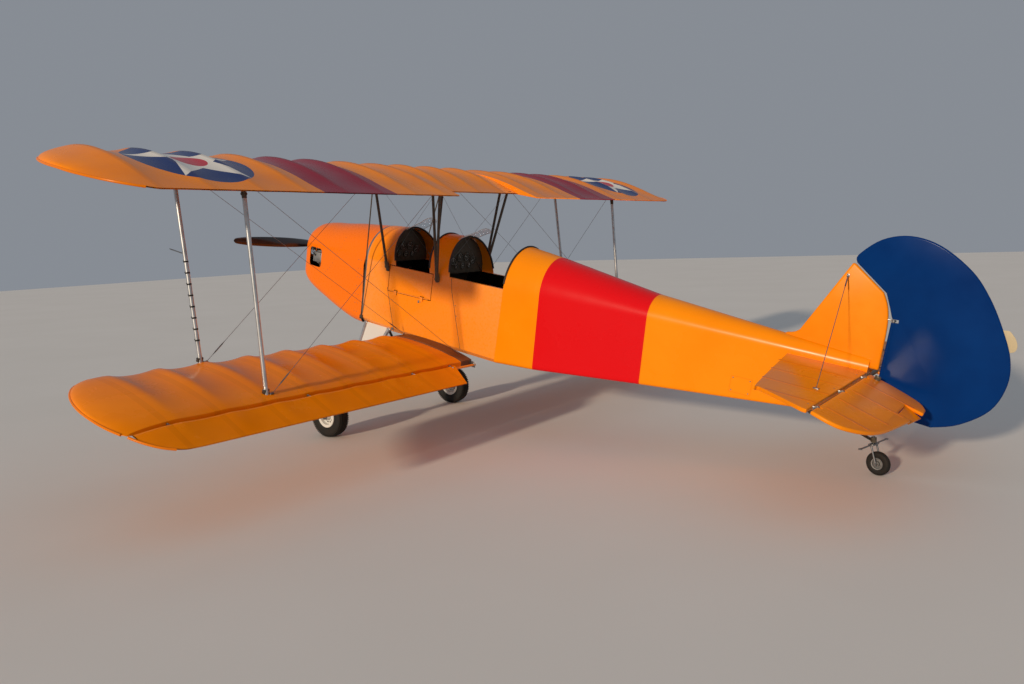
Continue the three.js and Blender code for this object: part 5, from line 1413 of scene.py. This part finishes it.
def main_tyre():
    r, half = 171.6, 54
    tread = [(r - 9, 0.78 * half), (r - 2.5, 0.62 * half)]
    for middle in (24, 8, -8, -24):
        tread += groove(r - abs(middle) * 0.05, middle)
    tread += [(r - 2.5, -0.62 * half), (r - 9, -0.78 * half)]
    side = [(78.5, 0.74 * half), (84, 0.80 * half), (90, 0.78 * half), (104, 0.93 * half),
            (110, 0.97 * half), (116, 0.955 * half), (132, half), (146, 0.985 * half), (156, 0.91 * half)]
    outline = side + tread + [(radius, -along) for radius, along in reversed(side)]
    tyre = turned(outline, (0, 0, 0), (0, 1, 0), 96)
    blocks = []
    for k in range(60):
        turn = math.tau * k / 60
        for sign in (1, -1):
            lug = box((-5, 0.80 * half, 157), (5, 0.93 * half, 166), 1.2, 1)
            lug = settle(lug, Matrix.Rotation(turn + (0.5 if sign < 0 else 0) * math.tau / 60, 4, "Y"))
            if sign < 0:
                lug.data.transform(MIRROR)
                lug.data.flip_normals()
            blocks.append(lug)
    return joined("tyre", [tyre, *blocks])


def main_wheel():
    wheel = turned([
        (12.5, -47), (27, -47), (29, -40), (34, -20), (60, -12), (66, -16), (68, -44), (88, -48),
        (91, -44), (90, -40), (78, -38), (77.5, 38), (90, 40), (91, 44), (88, 48), (68, 44), (66, 16),
        (60, 12), (34, 20), (29, 40), (27, 47), (12.5, 47),
    ], (0, 0, 0), (0, 1, 0), 64)
    for x, z in ring(6, 49):
        carve(wheel, tube((x, -40, z), (x, 40, z), 7, 16))
    return wheel


def make_wheels():
    tyre, wheel = main_tyre(), main_wheel()
    bolts = []
    for x, z in ring(6, 46, 0.5):
        for sign in (1, -1):
            bolts.append(bolt((x, sign * 15, z), (0, sign, 0), 10, 7))
    cap = turned([(0.1, 60), (14, 60), (19, 56), (21, 50), (21, 47), (0.1, 47)], (0, 0, 0), (0, 1, 0), 32)
    valve = [tube((72, 36, 0), (66, 58, 0), 3.4, 10), tube((66, 58, 0), (64.6, 63, 0), 4.2, 10)]
    fittings = joined("fittings", [*bolts, cap, *valve])
    for side, sign in SIDES:
        place = Matrix.Translation(joint_place(f"wheel_{side}_spin"))
        moves = [place] if sign > 0 else [MIRROR, place]
        fit(copied(tyre, f"main_tyre_rubber_{side}", *moves), RUBBER, f"wheel_{side}", "tyre",
            f"main_tyre_{side}")
        fit(copied(wheel, f"main_wheel_rim_{side}", *moves), WHITE_SHEET, f"wheel_{side}", "wheel_alloy",
            f"main_wheel_{side}")
        fit(copied(fittings, f"main_wheel_fittings_{side}", *moves), STEEL, f"wheel_{side}", "steel")
    for piece in (tyre, wheel, fittings):
        bpy.data.objects.remove(piece)


def make_gear():
    axle = joint_place("wheel_left_spin")
    foot, brace = Vector((axle.x, 700, axle.z)), Vector((axle.x + 20, 0, -250))
    front, rear = Vector((4226, 266, 26)), Vector((3955, 266, 28))
    legs = [
        tube(front, foot, 15, 24), tube(rear, foot, 15, 24), tube(foot, brace + Vector((0, 14, 0)), 11, 20),
        tube(foot - Vector((0, 18, 0)), foot + Vector((0, 24, 0)), 22, 24),
    ]
    for spot in (front, rear):
        legs += [box(spot + Vector((-20, -12, -16)), spot + Vector((20, 16, -2)), 4),
                 bolt(spot + Vector((0, 16, -9)), (0, 1, 0), 12, 6)]
    for turns in range(9):
        spot = on_line(foot, brace, 0.36 + turns * 0.016)
        legs.append(turned([(13, -4), (20, -4), (20, 4), (13, 4)], spot, brace - foot, 20))
    fit_pair(joined("leg", legs), "gear_leg_tubes", SILVER_TUBE, "airframe", "white_paint", "gear_leg")

    def fairing(across, along):
        a, b = front.lerp(foot + Vector((17, 0, 18)), along), rear.lerp(foot + Vector((-17, 0, 18)), along)
        turn = math.tau * across
        spot = b.lerp(a, 0.5 + 0.5 * math.cos(turn))
        return spot + Vector((0, 7 * math.sin(turn), 3 * math.sin(turn) - 4))

    fit_pair(skin("fairing", 40, 10, fairing), "gear_leg_fairing", WHITE_SHEET, "airframe", "white_paint")
    stub = [tube((axle.x, 690, axle.z), (axle.x, 852, axle.z), 12, 24),
            turned([(12, 0), (22, 0), (22, 12), (12, 12)], (axle.x, 843, axle.z), (0, 1, 0), 24)]
    fit_pair(joined("stub", stub), "gear_axles", STEEL, "airframe", "steel")
    cabane = [tube(brace + Vector((-30, 0, 0)), brace + Vector((30, 0, 0)), 20, 24)]
    for side in (1, -1):
        cabane.append(tube(brace, (brace.x, side * 190, 10), 11, 20))
        cabane.append(box((brace.x - 20, side * 190 - 16, -4), (brace.x + 20, side * 190 + 16, 4), 3))
    fit(joined("gear_brace_tubes", cabane), BLACK_TUBE, "airframe", "black_tube", "gear_brace")


make_wheels()
make_gear()


# Tail

def rounded(corners, steps=8):
    """An outline's points with each corner rounded by the radius that it is given."""
    points = []
    for k, (x, y, radius) in enumerate(corners):
        here = Vector((x, y))
        before = Vector(corners[k - 1][:2]) - here
        after = Vector(corners[(k + 1) % len(corners)][:2]) - here
        if not radius:
            points.append(tuple(here))
            continue
        a = here + before.normalized() * min(radius, before.length * 0.48)
        b = here + after.normalized() * min(radius, after.length * 0.48)
        for step in range(steps + 1):
            t = step / steps
            spot = a * (1 - t) ** 2 + here * 2 * t * (1 - t) + b * t * t
            points.append(tuple(spot))
    return points


def bowed(points, steps=5):
    """More points on a smooth curve through the given ones."""
    ends = [points[0], *points, points[-1]]
    curve = []
    for row in zip(ends, ends[1:], ends[2:], ends[3:]):
        p, q, r, s = (Vector(point) for point in row)
        for step in range(steps):
            t = step / steps
            bend = (2 * p - 5 * q + 4 * r - s) * t * t + (3 * q - p - 3 * r + s) * t ** 3
            curve.append(tuple((2 * q + (r - p) * t + bend) / 2))
    return [*curve, points[-1]]


# Places along and across in airframe millimetres. The whole tailplane lies at one height.
TAIL_Z = 612
TAILPLANE = [
    (718, 30), *bowed([(700, 90), (556, 1050), (520, 1110), (438, 1160), (232, 1290)], 4), (208, 1292),
    (208, 62), (260, 30),
]
ELEVATOR = [
    (188, 80), (188, 1293), *bowed([(100, 1300), (20, 1275), (-74, 1160), (-130, 980), (-172, 620)]),
    (-176, 584), (-100, 584), (-92, 340), (-199, 340),
    *bowed([(-193, 245), (-150, 165), (-75, 122), (46, 90)]),
]
TRIM_TAB = [(-96, 344), (-104, 580), (-178, 580), (-200, 344)]
TRIM_DROOP = 13
ELEVATOR_AXIS = Vector((186, 0, TAIL_Z))
ELEVATOR_DROOP = 14
ELEVATOR_HINGES = (200, 700, 1180)
RUDDER_HINGES = (410, 560, 960)
TAIL_HALF = 11
TAPE_WIDE = 26


def ribbed(places):
    """Tapes over the ribs of a flat tail surface, above and below: pairs of ends along and across."""
    strips = []
    for a, b in places:
        for sign in (1, -1):
            start, end = Vector((a[0], a[1], 0)), Vector((b[0], b[1], 0))
            deselect()
            bpy.ops.mesh.primitive_cube_add(size=1)
            strip = bpy.context.object
            strip.scale = ((end - start).length, TAPE_WIDE, 1.2)
            turn = (end - start).to_track_quat("X", "Z").to_matrix().to_4x4()
            middle = (start + end) / 2 + Vector((0, 0, sign * (TAIL_HALF + 0.2)))
            settle(strip, turn, Matrix.Translation(middle))
            strips.append(strip)
    return settle(joined("tapes", strips), Matrix.Translation((0, 0, TAIL_Z)))


def hinge_lugs():
    """Eye plates on the tailplane's rear edge, which hold the elevator's hinge tube."""
    lugs = []
    for y in ELEVATOR_HINGES:
        eye = ELEVATOR_AXIS + Vector((0, y, 0))
        lugs.append(box(eye + Vector((9, -6, -8)), eye + Vector((60, 6, 8)), 1.5))
        lugs.append(turned([(7.6, -6), (13, -6), (13, 6), (7.6, 6)], eye, (0, 1, 0), 24))
        lugs.append(bolt(eye + Vector((48, 0, 8)), (0, 0, 1), 8, 4))
    return lugs


def make_tailplane():
    plane = outline_plate("tailplane", TAILPLANE, TAIL_HALF, 9, "Z")
    plane = settle(plane, Matrix.Translation((0, 0, TAIL_Z)))
    fit_pair(plane, "tailplane_cloth", ORANGE_CLOTH, "airframe", "orange_fabric", "tailplane", angle=40)
    ribs = [((672, 330), (214, 330)), ((628, 600), (214, 600)), ((586, 870), (214, 870)),
            ((486, 1116), (214, 1116))]
    fit_pair(ribbed(ribs), "tailplane_tapes", TAPE_CLOTH, "airframe", "orange_fabric")
    fit_pair(joined("lugs", hinge_lugs()), "elevator_hinge_eyes", STEEL,
             "airframe", "steel")

    droop = (Matrix.Translation(ELEVATOR_AXIS) @ Matrix.Rotation(-math.radians(ELEVATOR_DROOP), 4, "Y")
             @ Matrix.Translation(-ELEVATOR_AXIS))
    flap = settle(outline_plate("flap", ELEVATOR, TAIL_HALF, 9, "Z"), Matrix.Translation((0, 0, TAIL_Z)))
    for y in ELEVATOR_HINGES:
        carve(flap, box((164, y - 11, 590), (230, y + 11, 634)))
    halves = joined("elevator_cloth", [flap, copied(flap, "other", MIRROR)])
    fit(settle(halves, droop), ORANGE_CLOTH, "elevators", "orange_fabric", "elevator", angle=40)
    ribs = [((160, 330), (-142, 330)), ((160, 600), (-136, 600)), ((160, 870), (-112, 870)),
            ((160, 1116), (-72, 1116))]
    tapes = ribbed(ribs)
    tapes = joined("elevator_tapes", [tapes, copied(tapes, "other", MIRROR)])
    fit(settle(tapes, droop), TAPE_CLOTH, "elevators", "orange_fabric")
    hinge = [tube((186, -1280, TAIL_Z), (186, 1280, TAIL_Z), 7, 20),
             tube((186, -110, TAIL_Z), (186, 110, TAIL_Z), 13, 24)]
    fit(settle(joined("elevator_torque_tube", hinge), droop), BLACK_TUBE, "elevators", "steel")
    tab_hinge = Vector((-100, 0, TAIL_Z))
    bent = (Matrix.Translation(tab_hinge) @ Matrix.Rotation(-math.radians(TRIM_DROOP), 4, "Y")
            @ Matrix.Translation((100, 0, 0)))
    tab = settle(outline_plate("tab", TRIM_TAB, 4, 2, "Z"), bent)
    tabs = joined("elevator_trim_tabs", [tab, copied(tab, "other", MIRROR)])
    fit(settle(tabs, droop), ORANGE_CLOTH, "elevators", "orange_fabric")
    horns = both([box((112, 146, 574), (148, 149, 650), 1.2), bolt((130, 149, 642), (0, 1, 0), 8, 4)],
                 "elevator_horns")
    fit(settle(horns, droop), DARK_SHEET, "elevators", "steel")


FIN = [
    (764, 640), (764, 736), (745, 745), (722, 750), (698, 760), (675, 778), (438, 1258), (424, 1262),
    *bowed([(224, 1117), (182, 1030), (161, 900), (157, 640)]),
]
RUDDER = [
    (133, 392), (133, 960), *bowed([(150, 978), (171, 1030), (209, 1116)]),
    *bowed([(414, 1266), (416, 1316), (300, 1430), (145, 1479), (-30, 1450), (-219, 1337), (-340, 1204),
            (-440, 1044), (-512, 890), (-532, 735), (-480, 568), (-340, 438), (-199, 378)]),
]
TAB = [(-400, 1034, 0), (-476, 1045, 14), (-516, 1005, 20), (-533, 965, 16), (-527, 931, 14),
       (-466, 908, 10)]


def make_fin():
    fin = outline_plate("fin_cloth", FIN, 16, 12, "Y")
    fit(fin, ORANGE_CLOTH, "airframe", "orange_fabric", "fin", angle=40)
    rudder = outline_plate("rudder_cloth", RUDDER, 13, 10, "Y")
    for z in RUDDER_HINGES:
        carve(rudder, box((105, -20, z - 11), (180, 20, z + 11)))
    fit(rudder, BLUE_CLOTH, "rudder_body", "blue_fabric", "rudder", angle=40)
    tab = outline_plate("rudder_trim_tab", rounded(TAB), 1.6, 0.8, "Y")
    fit(tab, CREAM_SHEET, "rudder_body", "cream_sheet", "rudder_tab")
    nose = [tube((135, 0, low), (135, 0, high), 13, 24)
            for low, high in ((422, 548), (572, 948), (972, 985))]
    fit(joined("rudder_nose_tube", nose), BLUE_CLOTH, "rudder_body", "blue_fabric")
    fit(joined("rudder_pins", [tube((135, 0, 398), (135, 0, 984), 8, 20)]), STEEL, "rudder_body", "steel")
    eyes = []
    for z in RUDDER_HINGES:
        eyes.append(box((146, -9, z - 5), (192, 9, z + 5), 1.5))
        eyes.append(turned([(8.6, -5), (15, -5), (15, 5), (8.6, 5)], (135, 0, z), (0, 0, 1), 24))
    fit(joined("rudder_hinge_eyes", eyes), STEEL, "airframe", "steel")
    stays = [*wire((447, 20, 1178), (300, 815, 624), 2), box((438, 17, 1168), (456, 21, 1190), 1.5),
             bolt((447, 21, 1182), (0, 1, 0), 6, 4), box((284, 800, 622), (316, 830, 627), 1.5)]
    fit_pair(joined("stay", stays), "tail_stay_wire", STEEL, "airframe", "steel", "tail_stay")
    fit(both(wire((330, 52, 360), (300, 815, 600), 2), "tail_low_stays"), STEEL, "airframe", "steel")


CASTOR_TURN = 13.6


def make_tail_wheel():
    swivel = joint_place("tail_wheel_swivel")
    axle = joint_place("tail_wheel_spin")
    upright = Matrix.Rotation(PARK_PITCH, 4, "Y")
    castor = upright @ Matrix.Rotation(-math.radians(CASTOR_TURN), 4, "Z")

    def leaf(across, along):
        path = [(560, 290), (440, 291), (370, 279), (224, 240), (swivel.x + 8, swivel.z + 18)]
        t = along * (len(path) - 1)
        k = min(int(t), len(path) - 2)
        x = path[k][0] + (path[k + 1][0] - path[k][0]) * (t - k)
        z = path[k][1] + (path[k + 1][1] - path[k][1]) * (t - k)
        turn = math.tau * across
        wide = min(max(1.25 * math.cos(turn), -1), 1)
        tall = min(max(1.25 * math.sin(turn), -1), 1)
        return Vector((x, 21 * wide, z - 4.5 + 4.5 * tall))

    spring = [skin("leaf", 16, 30, leaf), box((420, -24, 264), (520, 24, 316), 4)]
    for x in (436, 504):
        spring += [bolt((x, -14, 264), (0, 0, -1), 11, 7), bolt((x, 14, 264), (0, 0, -1), 11, 7)]
    sleeve = turned([(8.6, 5), (18, 5), (18, 36), (8.6, 36)], (0, 0, 0), (0, 0, 1), 32)
    spring.append(settle(sleeve, Matrix.Translation(swivel) @ upright))
    fit(joined("tail_spring_leaf", spring), BLACK_TUBE, "airframe", "black_tube", "tail_spring")
    yoke = [
        tube((0, 0, -8), (0, 0, 44), 8, 24), box((-17, -42, -13), (17, 42, -1), 3),
        tube((0, -176, -7), (0, 176, -7), 5, 16), tube((-29, -44, -125), (-29, 44, -125), 6, 20),
    ]
    for side in (1, -1):
        yoke.append(tube((0, side * 35, -7), (-29, side * 35, -125), 6, 16))
        yoke.append(turned([(6, -3), (12, -3), (12, 3), (6, 3)], (0, side * 170, -7), (0, 0, 1), 16))
        yoke.append(bolt((-29, side * 42, -125), (0, side, 0), 12, 6))
    fit(settle(joined("tail_fork_yoke", yoke), Matrix.Translation(swivel) @ castor), STEEL, "fork", "steel",
        "tail_fork")
    centre = Matrix.Translation(axle) @ castor
    tyre = turned([(34.5, 16), (38, 19), (50, 21.5), (62, 22), (70, 17), (74.6, 9), (75, 3), (72.6, 2),
                   (72.6, -2),
                   (75, -3), (74.6, -9), (70, -17), (62, -22), (50, -21.5), (38, -19), (34.5, -16)],
                  (0, 0, 0), (0, 1, 0), 64)
    fit(settle(tyre, centre), RUBBER, "tail_wheel_body", "tyre", "tail_tyre")
    hub = turned([(6.4, -21), (14, -21), (16, -8), (30, -6), (31, -19), (37.5, -20), (37.5, -17.5),
                  (34, -16.5),
                  (34, 16.5), (37.5, 17.5), (37.5, 20), (31, 19), (30, 6), (16, 8), (14, 21), (6.4, 21)],
                 (0, 0, 0), (0, 1, 0), 48)
    bolts = []
    for x, z in ring(5, 23):
        for sign in (1, -1):
            bolts.append(bolt((x, sign * 7, z), (0, sign, 0), 6, 4))
    hub = joined("tail_wheel_hub", [hub, *bolts])
    fit(settle(hub, centre), CAST_ALLOY, "tail_wheel_body", "wheel_alloy", "tail_wheel")


make_tailplane()
make_fin()
make_tail_wheel()


# Floor and light

def make_studio():
    bpy.ops.mesh.primitive_plane_add(size=80, location=(0, 0, 0))
    floor = named("floor")
    material, tree, shader, place = start_finish("pale_matt_floor", 0.9)
    grain = noise(tree, place, 0.6, 3.0)
    colour = blend(tree, grain, linear("#D9D7D2"), linear("#E2E0DC"))
    link_finish(tree, shader, colour)
    floor.data.materials.append(material)
    world = bpy.data.worlds.new("studio")
    bpy.context.scene.world = world
    world.use_nodes = True
    world.node_tree.nodes["Background"].inputs[0].default_value = linear("#DCE4F0")
    world.node_tree.nodes["Background"].inputs[1].default_value = 0.34
    for name, kind, toward, spread, power, tone in (
        ("low_key", "SUN", (-0.02, 0.96, 0.277), 3, 2.6, "#FFE8CC"),
        ("fill", "SUN", (-0.55, 0.45, 0.70), 60, 0.12, "#F4F4FF"),
    ):
        light = bpy.data.lights.new(name, kind)
        light.angle, light.energy, light.color = math.radians(spread), power, linear(tone)[:3]
        lamp = bpy.data.objects.new(name, light)
        bpy.context.scene.collection.objects.link(lamp)
        lamp.location = 10 * Vector(toward)
        lamp.rotation_euler = Vector(toward).to_track_quat("Z", "Y").to_euler()


deselect()
make_studio()
bpy.context.scene.view_settings.view_transform = "Standard"
